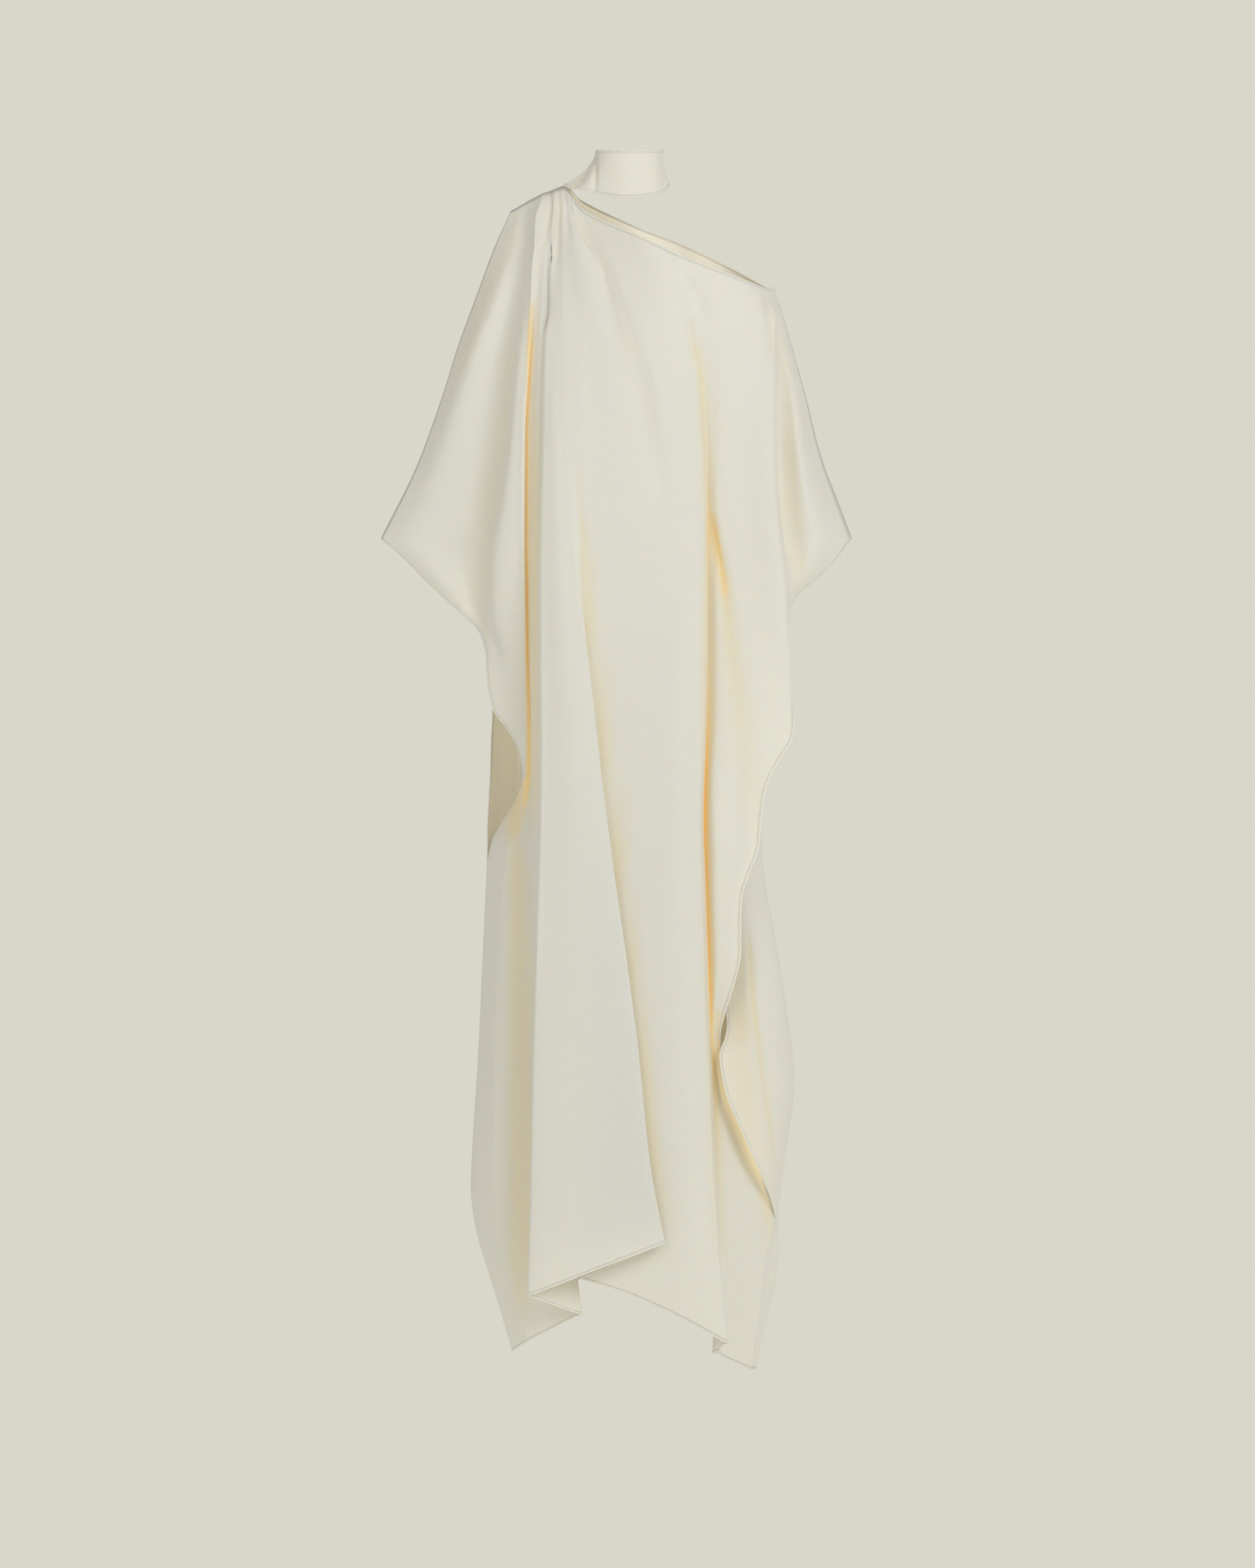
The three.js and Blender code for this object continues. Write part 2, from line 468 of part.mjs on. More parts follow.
// Seams of a panel: shoulder, top of both sleeves and both sides. side is -1 for the front and 1 for the
// back.
function seamPanel(grid, facing, side, leftColumn, rightColumn, shoulderColumns) {
  const level = (low, high) => ROWS.flatMap((row, r) => {
    const inYoke = row.zone === "yoke";
    const inHem = row.zone === "hem";
    const z = inYoke ? YOKE_Z + 1 : inHem ? SKIRT_Z - 1 : row.z;
    return z <= low && z >= high ? [r] : [];
  });
  const tip = OVERARM_LEFT.at(-1).z;
  const across = new THREE.Vector3(0, side, 0);
  const left = new THREE.Vector3(-1, 0, 0);
  const right = new THREE.Vector3(1, 0, 0);
  const up = new THREE.Vector3(...SHOULDER_WAY);
  const corner = new THREE.Vector3(...CORNER_WAY);
  const roundCorner = new THREE.Vector3(...ROUND_CORNER).multiplyScalar(side);
  const shoulder = shoulderColumns.map((c) => [0, c]);
  shoulder.forEach(([r, c]) => grid[r][c].setY(0));
  const armLeft = level(0, tip).filter((r) => r > 0).map((r) => [r, leftColumn]);
  const armRight = level(0, tip).map((r) => [r, rightColumn]);
  const sideLeft = level(SIDE_LEFT[0].z, -Infinity).map((r) => [r, leftColumn]);
  const sideRight = level(SIDE_RIGHT[0].z, -Infinity).map((r) => [r, rightColumn]);
  setSeam(grid, facing, shoulder, across, up);
  setSeam(grid, facing, armLeft, across, left);
  setSeam(grid, facing, armRight, across, right);
  setSeam(grid, facing, sideLeft, across, left);
  setSeam(grid, facing, sideRight, roundCorner, corner, SLIT_END_GAP);
}

// Columns of the top row that lie on the shoulder seam, from the sleeve to the collar
const columnsUpTo = (row, x) => row.flatMap((point, c) => (point.x <= x + SHOULDER_SLACK ? [c] : []));

function frontPanel() {
  const grid = ROWS.map(frontSection).map(rowOfCloth);
  const facing = facings(grid, false);
  const last = grid[0].length - 1;
  const shoulder = columnsUpTo(grid[0], TUCK[0].x);
  seamPanel(grid, facing, -1, 0, last, shoulder);
  return clothPiece("front_panel", wallGeometry(grid, facing, false));
}

// The back's rows run the other way, so that both panels face out
function backPanel() {
  const grid = ROWS.map(backSection).map(rowOfCloth).map((row) => row.reverse());
  const facing = facings(grid, false);
  const last = grid[0].length - 1;
  const shoulder = columnsUpTo(grid[0], HOLLOW_BACK_LEFT[0].x).reverse();
  seamPanel(grid, facing, 1, last, 0, shoulder);
  return clothPiece("back_panel", wallGeometry(grid, facing, false));
}

function rimHeight(rim, turn) {
  const across = Math.sin(turn);
  return rim.side + ((across < 0 ? rim.front : rim.back) - rim.side) * Math.abs(across);
}

function collar() {
  const grid = [];
  for (let r = 0; r <= COLLAR_ROWS; r += 1) {
    const share = r / COLLAR_ROWS;
    const row = [];
    for (let c = 0; c < COLLAR_COLUMNS; c += 1) {
      const turn = (c / COLLAR_COLUMNS) * 2 * Math.PI;
      const fromShoulder = Math.atan2(Math.sin(turn - Math.PI), Math.cos(turn - Math.PI));
      const tongue = Math.exp(-((fromShoulder / TONGUE.width) ** 2));
      const foot = COLLAR_FOOT.radius + TONGUE.reach * tongue;
      const radius = COLLAR_TOP.radius + (foot - COLLAR_TOP.radius) * share ** 2;
      const top = rimHeight(COLLAR_TOP, turn);
      const z = top + (rimHeight(COLLAR_FOOT, turn) - top) * share;
      row.push(new THREE.Vector3(COLLAR_X + radius * Math.cos(turn), radius * Math.sin(turn), z));
    }
    grid.push(row);
  }
  return clothPiece("neck_collar", wallGeometry(grid, facings(grid, true), true));
}

const kaftan = new THREE.Group();
kaftan.add(frontPanel(), backPanel(), collar());

export default kaftan;
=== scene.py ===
"""One-shoulder kaftan of heavy ivory crepe: its cloth, rolled hems and studio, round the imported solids.

Lengths are in millimetres until a mesh is made, and +x, +y and +z go right, back and up as in the frame.
"""
import math

import bpy
import numpy as np
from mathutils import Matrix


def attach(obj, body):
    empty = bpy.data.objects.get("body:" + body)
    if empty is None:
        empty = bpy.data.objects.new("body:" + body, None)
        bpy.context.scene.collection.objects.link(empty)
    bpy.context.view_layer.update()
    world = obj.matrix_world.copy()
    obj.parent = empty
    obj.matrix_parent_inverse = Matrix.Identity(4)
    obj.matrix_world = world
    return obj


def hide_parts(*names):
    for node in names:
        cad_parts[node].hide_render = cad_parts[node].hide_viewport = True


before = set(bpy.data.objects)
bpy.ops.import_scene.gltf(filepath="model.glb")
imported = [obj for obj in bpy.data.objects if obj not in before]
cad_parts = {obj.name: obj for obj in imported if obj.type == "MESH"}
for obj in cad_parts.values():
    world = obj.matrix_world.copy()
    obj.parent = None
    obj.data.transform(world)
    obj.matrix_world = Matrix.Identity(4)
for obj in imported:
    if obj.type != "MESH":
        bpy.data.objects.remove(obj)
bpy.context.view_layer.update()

M = 0.001

# The tables give each line as it is seen from the front, drawn to scale on the plane y = 0.
# A point in front of that plane is nearer to this eye, so it is a little smaller than it is drawn.
# The eye's picture is this many pixels high, and each is this many millimetres on that plane.
EYE = np.array([79.0, -5200.0, -781.0])
PHOTO_HEIGHT = 2156
PHOTO_SCALE = 0.95

# Thickness of the cloth, the gap between two pieces at a seam, and how far past its last line the
# shoulder seam may end. Ways and steps shorter than the last two are taken to be as long as these.
CLOTH = 1.0
SEAM_GAP = 0.3
SHOULDER_SLACK = 0.5
SHORTEST_WAY = 1e-9
SHORTEST_STEP = 1e-4

# Heights where the rows of the cloth change: level between the yoke and the skirt, along the shoulder
# and the neckline above them, and along the hem below them. The sleeve tips and the lower end of the
# left slit lie between the two.
YOKE_Z = -184
TIP_Z = -461
SLIT_Z = -884
SKIRT_Z = -1348

# A fold that has turned back on itself is a half round this deep that starts this far from its edge.
# It turns as it comes to pass over the line that it hides, between these two overlaps, and a bend
# takes up no more than this share of the way to the next line.
FOLD_GAP = 7
FOLD_START = 8
TURN_OVERLAPS = (-6, 14)
BEND_SHARE = 0.35

# From this width on, the cloth between two lines stands back by the whole amount that its table gives
WIDE_SPAN = 60

# Ways that the seams face: on top of the shoulder, and at the right side seam, which lies round the
# front corner of the body, with the way that the cloth crosses it
SHOULDER_WAY = np.array([-0.4, 0, 1])
CORNER_WAY = np.array([0.7, -0.7, 0])
ROUND_CORNER = np.array([0.7, 0.7, 0])

# Collar: a ring round the neck that widens to its foot, which runs out in a tongue to the shoulder.
# Each rim has its height at the sides, and others at the front and the back.
COLLAR_X = 81
COLLAR_TOP = {"radius": 43.5, "side": 47, "front": 40, "back": 40}
COLLAR_FOOT = {"radius": 53, "side": 1.78, "front": -23, "back": 9}
TONGUE_REACH = 32
TONGUE_WIDTH = 0.6


def table(columns, *rows):
    return dict(zip(columns.split(), np.array(rows, float).T))


def route(*rows):
    """Where a line runs."""
    return table("z x y", *rows)


def shares(*rows):
    """Where a line lies between two others, as a share of the way, and how far it stands back there."""
    return table("z share back", *rows)


OVERARM_LEFT = route(
    (-33, -73, 0), (-82, -95, 0), (-141, -117, 0), (-209, -142, 0), (-276, -163, 0), (-319, -178, 0),
    (-364, -195, 0), (-461, -243, 0),
)
SIDE_LEFT = route(
    (-884, -104, 0), (-1014, -110, 0), (-1124, -115, 0), (-1254, -123, 0), (-1309, -125, 0),
    (-1359, -119, 0), (-1419, -102, 0), (-1454, -91, 0), (-1522, -71, 0),
)
OVERARM_RIGHT = route(
    (-132, 270, 0), (-183, 286, 0), (-230, 299, 0), (-285, 314, 0), (-327, 324, 0), (-370, 337, 0),
    (-403, 350, 0), (-461, 372, 0),
)
SIDE_RIGHT = route(
    (-1348, 272, -38), (-1371, 268, -40), (-1386, 264, -42), (-1404, 259, -44), (-1419, 258, -45),
    (-1547, 241, -50),
)
FRONT_FREE_LEFT = route(
    (-461, -243, 0), (-482, -218, -14), (-520, -180, -26), (-564, -134, -36), (-585, -117, -40),
    (-612, -107, -44), (-649, -104, -48), (-683, -97, -52), (-705, -81, -50), (-728, -67, -44),
    (-750, -60, -38), (-771, -57, -30), (-788, -61, -24), (-806, -69, -18), (-831, -85, -10),
    (-857, -98, -4), (-884, -104, 0),
)
FRONT_FREE_RIGHT = route(
    (-461, 372, 0), (-490, 350, -20), (-520, 320, -36), (-551, 292, -52), (-593, 286, -60),
    (-640, 289, -66), (-683, 294, -72), (-707, 297, -75), (-722, 294, -77), (-745, 280, -80),
    (-773, 265, -83), (-798, 257, -85), (-825, 254, -86), (-866, 250, -87), (-895, 239, -88),
    (-927, 229, -90), (-956, 227, -90), (-1000, 227, -90), (-1040, 219, -86), (-1082, 206, -76),
    (-1111, 200, -69), (-1133, 204, -66), (-1182, 223, -62), (-1239, 245, -56), (-1286, 254, -56),
    (-1348, 272, -38),
)
BACK_FREE_LEFT = route(
    (-461, -243, 0), (-480, -218, 12), (-517, -180, 22), (-560, -134, 32), (-583, -112, 36),
    (-612, -103, 40), (-649, -100, 42), (-684, -97, 42), (-726, -99, 36), (-763, -100, 28),
    (-802, -102, 18), (-848, -104, 8), (-884, -104, 0),
)
BACK_FREE_RIGHT = route(
    (-461, 372, 0), (-490, 343, 10), (-520, 313, 8), (-551, 286, 0), (-593, 259, -12), (-669, 240, -30),
    (-783, 225, -40), (-897, 216, -46), (-1001, 211, -50), (-1063, 206, -56), (-1096, 209, -64),
    (-1115, 206, -86), (-1134, 199, -102), (-1185, 208, -112), (-1228, 226, -110), (-1278, 248, -94),
    (-1308, 261, -74), (-1340, 271, -46), (-1348, 272, -38),
)
CREST_LEFT = route(
    (-10, -32, 0), (-21, -34, -28), (-39, -40, -46), (-77, -42, -62), (-107, -45, -70), (-158, -47, -82),
    (-192, -48, -88), (-259, -53, -95), (-319, -56, -99), (-422, -57, -101), (-517, -56, -92),
    (-612, -54, -76), (-698, -53, -66), (-763, -53, -62), (-811, -57, -60), (-884, -71, -60),
    (-1001, -83, -62), (-1130, -86, -64), (-1348, -81, -66), (-1510, -53, -62),
)
VALLEY_LEFT = route(
    (-8, -26, 0), (-19, -28, -20), (-42, -33, -32), (-80, -37, -52), (-137, -41, -68), (-192, -46, -78),
    (-251, -50, -82), (-327, -54, -86), (-461, -54, -86), (-517, -53, -78), (-612, -51, -66),
    (-698, -48, -62), (-764, -47, -64), (-821, -46, -72), (-884, -46, -80), (-1001, -39, -90),
    (-1130, -26, -96), (-1248, -10, -102), (-1348, 4, -106), (-1474, 19, -108),
)
RIDGE_LEFT = route(
    (-5, -18, 0), (-19, -17, -28), (-42, -18, -44), (-77, -20, -62), (-137, -24, -84), (-184, -26, -98),
    (-251, -29, -112), (-327, -31, -122), (-461, -34, -130), (-612, -34, -134), (-741, -33, -137),
    (-827, -34, -139), (-935, -37, -142), (-1134, -44, -147), (-1348, -48, -152), (-1450, -51, -155),
)
PLEAT = route(
    (-2, -10, 0), (-19, -8, -26), (-42, -7, -42), (-80, -5, -64), (-137, -5, -92), (-184, -5, -107),
    (-251, -4, -122), (-327, -1, -133), (-454, 10, -140), (-539, 17, -143), (-623, 28, -146),
    (-709, 38, -148), (-797, 48, -150), (-903, 62, -152), (-1022, 79, -153), (-1132, 93, -154),
    (-1276, 108, -156), (-1359, 123, -158), (-1381, 128, -159),
)
TUCK = route(
    (0, -3, 0), (-19, 4, -30), (-42, 9, -47), (-80, 14, -70), (-137, 18, -98), (-184, 20, -112),
    (-251, 20, -126), (-327, 20, -134), (-422, 19, -135), (-517, 19, -133), (-623, 20, -133),
    (-709, 22, -134), (-903, 26, -135), (-1132, 28, -136), (-1359, 22, -138), (-1427, 17, -138),
)
BODICE = route(
    (-30, 19, -34), (-61, 32, -56), (-94, 52, -82), (-141, 70, -104), (-192, 86, -118), (-242, 102, -124),
    (-297, 111, -128), (-361, 117, -131), (-461, 119, -134), (-612, 115, -137), (-802, 107, -139),
    (-992, 102, -140), (-1182, 100, -139), (-1348, 102, -136), (-1450, 86, -134),
)
SIDE_FRONT = route(
    (-66, 96, -90), (-118, 117, -108), (-184, 132, -116), (-289, 143, -120), (-461, 151, -130),
    (-612, 151, -138), (-802, 147, -143), (-992, 147, -145), (-1182, 151, -146), (-1348, 157, -146),
    (-1481, 153, -146),
)
RIDGE_RIGHT = route(
    (-88, 143, -98), (-124, 150, -104), (-184, 158, -109), (-268, 170, -113), (-361, 176, -118),
    (-461, 179, -124), (-574, 180, -128), (-669, 179, -130), (-830, 173, -132), (-897, 175, -133),
    (-992, 178, -134), (-1087, 181, -136), (-1163, 185, -137), (-1239, 188, -138), (-1372, 196, -142),
    (-1512, 211, -150),
)
VALLEY_RIGHT = route(
    (-95, 160, -98), (-150, 169, -105), (-184, 171, -104), (-232, 178, -100), (-289, 182, -94),
    (-365, 184, -90), (-461, 184, -86), (-574, 184, -84), (-669, 183, -82), (-830, 179, -78),
    (-897, 181, -78), (-992, 184, -80), (-1087, 187, -82), (-1163, 191, -88), (-1239, 196, -94),
    (-1348, 200, -102), (-1524, 190, -118),
)
CREST_RIGHT = route(
    (-135, 263, -45), (-175, 273, -66), (-256, 273, -80), (-297, 271, -86), (-361, 272, -92),
    (-454, 277, -98), (-539, 284, -98), (-602, 289, -92), (-657, 292, -83), (-707, 292, -75),
)
ARM_FRONT = shares(
    (-22, 0.3, 0), (-80, 0.45, 3), (-136, 0.36, -8), (-232, 0.235, -21), (-327, 0.2, -15),
    (-422, 0.2, -6), (-500, 0.15, -3), (-574, 0.12, 0), (-650, 0.2, 0), (-771, 0.2, 0), (-884, 0.2, -20),
    (-1522, 0.2, -20),
)
FLY_FRONT = shares(
    (-18, 0.55, 4), (-80, 0.77, 17), (-136, 0.7, 16), (-232, 0.56, 6), (-327, 0.58, 12), (-422, 0.6, 17),
    (-500, 0.45, 9), (-574, 0.25, 1), (-650, 0.4, 0), (-771, 0.5, 0), (-884, 0.5, -22), (-1522, 0.5, -22),
)
TROUGH_FRONT = shares(
    (-14, 0.8, 3), (-80, 0.93, 8), (-136, 0.92, 4), (-232, 0.86, -7), (-327, 0.85, -8), (-422, 0.82, -9),
    (-500, 0.7, -12), (-574, 0.5, -10), (-650, 0.6, 0), (-771, 0.75, 0), (-884, 0.75, -18),
    (-1522, 0.75, -18),
)
BELLY_FRONT = shares(
    (-3, 0.5, 0), (-42, 0.5, 20), (-80, 0.5, 15), (-184, 0.5, 0), (-461, 0.5, -7), (-1450, 0.5, -5),
)
WING_FRONT = shares(
    (-109, 0.36, -17), (-184, 0.3, -8), (-289, 0.2, -8), (-461, 0.15, -10), (-707, 0.13, -15),
    (-956, 0.3, -24), (-1133, 0.35, -15), (-1348, 0.35, -2), (-1540, 0.35, 0),
)
WING_SIDE_FRONT = shares(
    (-124, 0.72, -20), (-184, 0.68, -8), (-289, 0.58, -4), (-461, 0.55, -5), (-707, 0.55, -12),
    (-956, 0.7, -16), (-1133, 0.7, -8), (-1348, 0.7, -3), (-1540, 0.7, -2),
)
BAND_RIGHT = shares(
    (-133, 0.2, 20), (-184, 0.15, 32), (-232, 0.15, 36), (-370, 0.11, 34), (-461, 0.14, 32),
    (-520, 0.28, 14), (-551, 0.35, 4), (-1547, 0.5, 0),
)
CUFF_RIGHT = shares(
    (-132, 0.6, -10), (-184, 0.6, -20), (-232, 0.6, -23), (-370, 0.52, -20), (-461, 0.48, -8),
    (-520, 0.66, 0), (-551, 0.7, 0), (-1547, 0.8, 0),
)
EDGE_WIDTH = table(
    "z share",
    (-707, 0.046), (-770, 0.13), (-1000, 0.2), (-1348, 0.35), (-1547, 0.4),
)
CREST_BACK_LEFT = route(
    (-10, -32, 0), (-24, -36, 30), (-60, -42, 52), (-184, -50, 86), (-461, -62, 94), (-707, -62, 86),
    (-884, -66, 80), (-1348, -72, 84), (-1500, -60, 86),
)
VALLEY_BACK_LEFT = route(
    (-8, -26, 0), (-24, -26, 26), (-60, -26, 48), (-184, -30, 80), (-300, -36, 66), (-612, -36, 62),
    (-884, -34, 74), (-1348, -28, 92), (-1478, -26, 96),
)
RIDGE_BACK_LEFT = route(
    (-5, -18, 0), (-24, -14, 32), (-60, -10, 58), (-184, -6, 104), (-461, -10, 122), (-884, -12, 132),
    (-1348, -12, 142), (-1450, -10, 144),
)
HOLLOW_BACK_LEFT = route(
    (0, -3, 0), (-24, 6, 36), (-60, 14, 62), (-184, 26, 108), (-461, 24, 112), (-884, 24, 112),
    (-1348, 24, 116), (-1424, 24, 116),
)
MIDDLE_BACK = route(
    (-20, 19, 42), (-50, 44, 72), (-100, 62, 98), (-184, 74, 114), (-461, 76, 126), (-884, 80, 136),
    (-1348, 84, 148), (-1418, 84, 150),
)
HOLLOW_BACK_RIGHT = route(
    (-56, 96, 80), (-110, 112, 98), (-184, 122, 108), (-461, 124, 112), (-884, 126, 114),
    (-1348, 130, 120), (-1434, 130, 120),
)
RIDGE_BACK_RIGHT = route(
    (-74, 143, 89), (-120, 152, 100), (-184, 160, 102), (-461, 168, 118), (-884, 168, 128),
    (-1348, 172, 138), (-1470, 176, 140),
)
VALLEY_BACK_RIGHT = route(
    (-84, 166, 86), (-130, 176, 92), (-184, 180, 90), (-300, 188, 68), (-612, 190, 62), (-884, 190, 72),
    (-1348, 196, 90), (-1490, 200, 94),
)
CREST_BACK_RIGHT = route(
    (-108, 215, 76), (-150, 226, 84), (-184, 232, 82), (-461, 240, 92), (-707, 226, 80), (-884, 230, 70),
    (-1348, 240, 74), (-1520, 226, 74),
)
TURN_RIGHT = route(
    (-136, 268, 14), (-184, 280, 30), (-327, 313, 28), (-461, 352, 14), (-517, 305, 22), (-551, 282, 22),
    (-593, 267, 18), (-669, 254, 8), (-783, 251, -2), (-883, 255, -8), (-929, 261, -12), (-997, 274, -18),
    (-1074, 286, -24), (-1132, 294, -28), (-1175, 296, -30), (-1245, 288, -28), (-1309, 279, -24),
    (-1348, 276, -16), (-1390, 276, -14), (-1419, 274, -14), (-1454, 267, -14), (-1495, 258, -15),
    (-1545, 246, -22),
)
ARM_BACK = shares(
    (-27, 0.35, 0), (-60, 0.35, 24), (-184, 0.3, 22), (-327, 0.25, 18), (-461, 0.2, 4), (-612, 0.3, 2),
    (-771, 0.4, 10), (-884, 0.35, 16), (-1522, 0.35, 16),
)
FLY_BACK = shares(
    (-20, 0.65, 0), (-60, 0.65, 14), (-184, 0.65, 12), (-461, 0.6, 4), (-612, 0.7, 6), (-884, 0.7, 12),
    (-1522, 0.7, 12),
)
FLAP_RIGHT = shares(
    (-136, 0.5, 0), (-184, 0.5, 4), (-461, 0.5, 2), (-783, 0.5, -4), (-1001, 0.5, -16), (-1063, 0.5, -20),
    (-1134, 0.5, -22), (-1228, 0.5, -20), (-1308, 0.5, -12), (-1348, 0.5, 0), (-1545, 0.5, 0),
)

# Creases and soft folds that the lines leave out: where each runs, how far it reaches to either side,
# how far the cloth stands out along it, and how much painted warm shade and light it gets, from 0 to 1.
# Each is pressed into the cloth between two named lines.
def crease(first, last, *rows):
    return first, last, table("z x width depth glow", *rows)


FRONT_CREASES = [
    # small gathers on the shoulder, with a little painted shade in them
    crease("crest_left", "pleat",
           (-4, -21, 3, 0, 0), (-22, -21, 3, -5, 0.1), (-56, -27, 5, -4, 0.05), (-90, -31, 6, 0, 0)),
    crease("crest_left", "tuck",
           (-4, -11, 3, 0, 0), (-22, -10, 3, -5, 0.1), (-77, -15, 6, -4, 0.05), (-120, -19, 8, 0, 0)),
    crease("ridge_left", "bodice",
           (-4, -1, 3, 0, 0), (-20, -2, 3, -4, 0), (-50, 1, 5, -4, 0), (-80, 4, 8, 0, 0)),
    # long soft fold across the bodice, with the fuller cloth on its left, and a little painted shade along
    # it
    crease("pleat", "ridge_right",
           (-18, 5, 4, 0, 0), (-30, 8, 5, -6, 0), (-61, 24, 7, -12, 0.08), (-94, 40, 8, -14, 0.08),
           (-141, 58, 9, -15, 0.08), (-192, 74, 10, -15, 0.08), (-242, 92, 11, -14, 0.08),
           (-297, 106, 12, -12, 0.08), (-361, 115, 14, -8, 0), (-440, 122, 18, 0, 0)),
    crease("pleat", "ridge_right",
           (-30, 0, 8, 0, 0), (-61, 8, 12, 4, 0), (-141, 34, 18, 6, 0), (-242, 66, 22, 6, 0),
           (-340, 88, 26, 5, 0), (-460, 96, 30, 0, 0)),
    # hollow beside the gathers, down to the dimple, with painted shade in it and below it
    crease("ridge_left", "pleat",
           (-60, -26, 6, 0, 0), (-110, -29, 9, -7, 0), (-160, -32, 10, -10, 0.05),
           (-184, -35, 6, -7, 0.1), (-196, -36, 5, 0, 0)),
    crease("ridge_left", "pleat",
           (-184, -34, 5, 0, 0), (-215, -37, 5, -4, 0.2), (-290, -40, 7, -4, 0.22),
           (-400, -40, 7, -2, 0.2), (-520, -38, 7, 0, 0)),
    # dimple on the right and the soft fold above it, with a little painted shade
    crease("bodice", "wing",
           (-105, 150, 8, 0, 0), (-125, 160, 9, -5, 0), (-158, 175, 9, -5, 0), (-180, 183, 9, 0, 0)),
    crease("bodice", "wing",
           (-170, 158, 5, 0, 0), (-182, 160, 6, -8, 0.05), (-205, 164, 7, -6, 0.1), (-240, 168, 8, 0, 0)),
    # branch fold of the right wing, with painted warm shade and light in it
    crease("valley_right", "edge_right",
           (-425, 189, 5, 0, 0.3), (-455, 192, 6, -4, 0.7), (-490, 198, 7, -8, 0.8),
           (-520, 204, 7, -9, 0.8), (-550, 207, 8, -7, 0.3), (-640, 218, 13, -6, 0.2),
           (-707, 229, 16, -5, 0.15), (-790, 237, 16, -4, 0.1), (-870, 244, 16, 0, 0)),
    # small fold under the point of the neckline, with a little painted shade
    crease("wing", "edge_right",
           (-134, 262, 4, 0, 0), (-150, 264, 7, -6, 0.1), (-200, 268, 6, -5, 0.1), (-240, 270, 5, 0, 0)),
    # painted warm light and shade in the deep folds, with no change of shape
    crease("crest_left", "ridge_left",
           (-150, -46, 3, 0, 0.3), (-200, -49, 3, 0, 0.8), (-255, -50, 3, 0, 0.8), (-330, -52, 3, 0, 0.7),
           (-600, -52, 3, 0, 0.7), (-700, -50, 3, 0, 0.8), (-760, -50, 4, 0, 0.9), (-790, -54, 6, 0, 0.9),
           (-815, -58, 6, 0, 0.5), (-830, -60, 5, 0, 0)),
    crease("edge_left", "ridge_left",
           (-765, -53, 6, 0, 0), (-780, -56, 7, 0, 0.7), (-800, -62, 9, 0, 0.6), (-838, -70, 12, 0, 0.5),
           (-856, -72, 12, 0, 0.2), (-872, -72, 12, 0, 0)),
    crease("crest_left", "ridge_left",
           (-240, -44, 5, 0, 0), (-330, -43, 8, 0, 0.3), (-600, -43, 9, 0, 0.42), (-760, -42, 9, 0, 0.35),
           (-880, -44, 9, 0, 0)),
    crease("edge_left", "ridge_left",
           (-840, -66, 8, 0, 0), (-880, -64, 12, 0, 0.3), (-1100, -61, 16, 0, 0.3),
           (-1300, -59, 17, 0, 0.3), (-1420, -60, 15, 0, 0.25), (-1500, -64, 10, 0, 0)),
    # the sleeve's side painted in warm shade, and its long soft band with a little painted shade
    crease("edge_left", "crest_left",
           (-30, -60, 8, 0, 0), (-60, -68, 12, 0, 0.08), (-137, -104, 17, 0, 0.12),
           (-226, -136, 14, 0, 0.1), (-327, -179, 8, 0, 0)),
    crease("edge_left", "crest_left",
           (-160, -68, 10, 0, 0), (-232, -81, 12, -7, 0.12), (-327, -92, 15, -10, 0.14),
           (-422, -108, 18, -11, 0.14), (-517, -116, 17, -10, 0.12), (-580, -116, 13, -6, 0.06),
           (-640, -110, 10, 0, 0)),
    # painted shadow on the cloth under the pleat's edge
    crease("tuck", "ridge_right",
           (-330, 10, 5, 0, 0), (-420, 17, 7, 0, 0.18), (-620, 34, 9, 0, 0.28), (-900, 68, 10, 0, 0.28),
           (-1130, 99, 10, 0, 0.26), (-1280, 115, 10, 0, 0.24), (-1380, 131, 9, 0, 0)),
    # painted warm light and shade in the deep fold beside the right ridge, with no change of shape
    crease("ridge_right", "wing",
           (-190, 164, 5, 0, 0.1), (-230, 173, 6, 0, 0.3), (-300, 178, 6, 0, 0.35),
           (-390, 182, 6, 0, 0.35), (-440, 183, 5, 0, 0.35), (-700, 180, 5, 0, 0.3),
           (-1000, 182, 5, 0, 0.3), (-1200, 191, 6, 0, 0.3), (-1400, 200, 8, 0, 0.1)),
    crease("valley_right", "wing",
           (-400, 182, 5, 0, 0.4), (-440, 183, 5, 0, 0.6), (-500, 181, 3, 0, 0.8), (-640, 181, 3, 0, 0.9),
           (-700, 180, 5, 0, 0.9), (-850, 178, 6, 0, 0.9), (-1000, 182, 6, 0, 0.9),
           (-1100, 186, 6, 0, 0.9), (-1200, 191, 7, 0, 0.5), (-1400, 200, 9, 0, 0.1)),
    # soft band of the right sleeve, with a little painted shade
    crease("wing", "edge_right",
           (-170, 274, 5, 0, 0.05), (-213, 280, 8, -3, 0.1), (-300, 288, 12, -5, 0.12),
           (-420, 290, 14, -5, 0.12), (-517, 306, 12, -4, 0.1), (-565, 312, 9, 0, 0)),
    # painted shadow on the cloth under the flap's edge
    crease("wing", "edge_right",
           (-1080, 196, 8, 0, 0.3), (-1140, 198, 9, 0, 0.5), (-1185, 207, 12, 0, 0.5),
           (-1228, 225, 13, 0, 0.5), (-1280, 247, 13, 0, 0.5), (-1308, 260, 11, 0, 0.4),
           (-1390, 266, 10, 0, 0)),
]
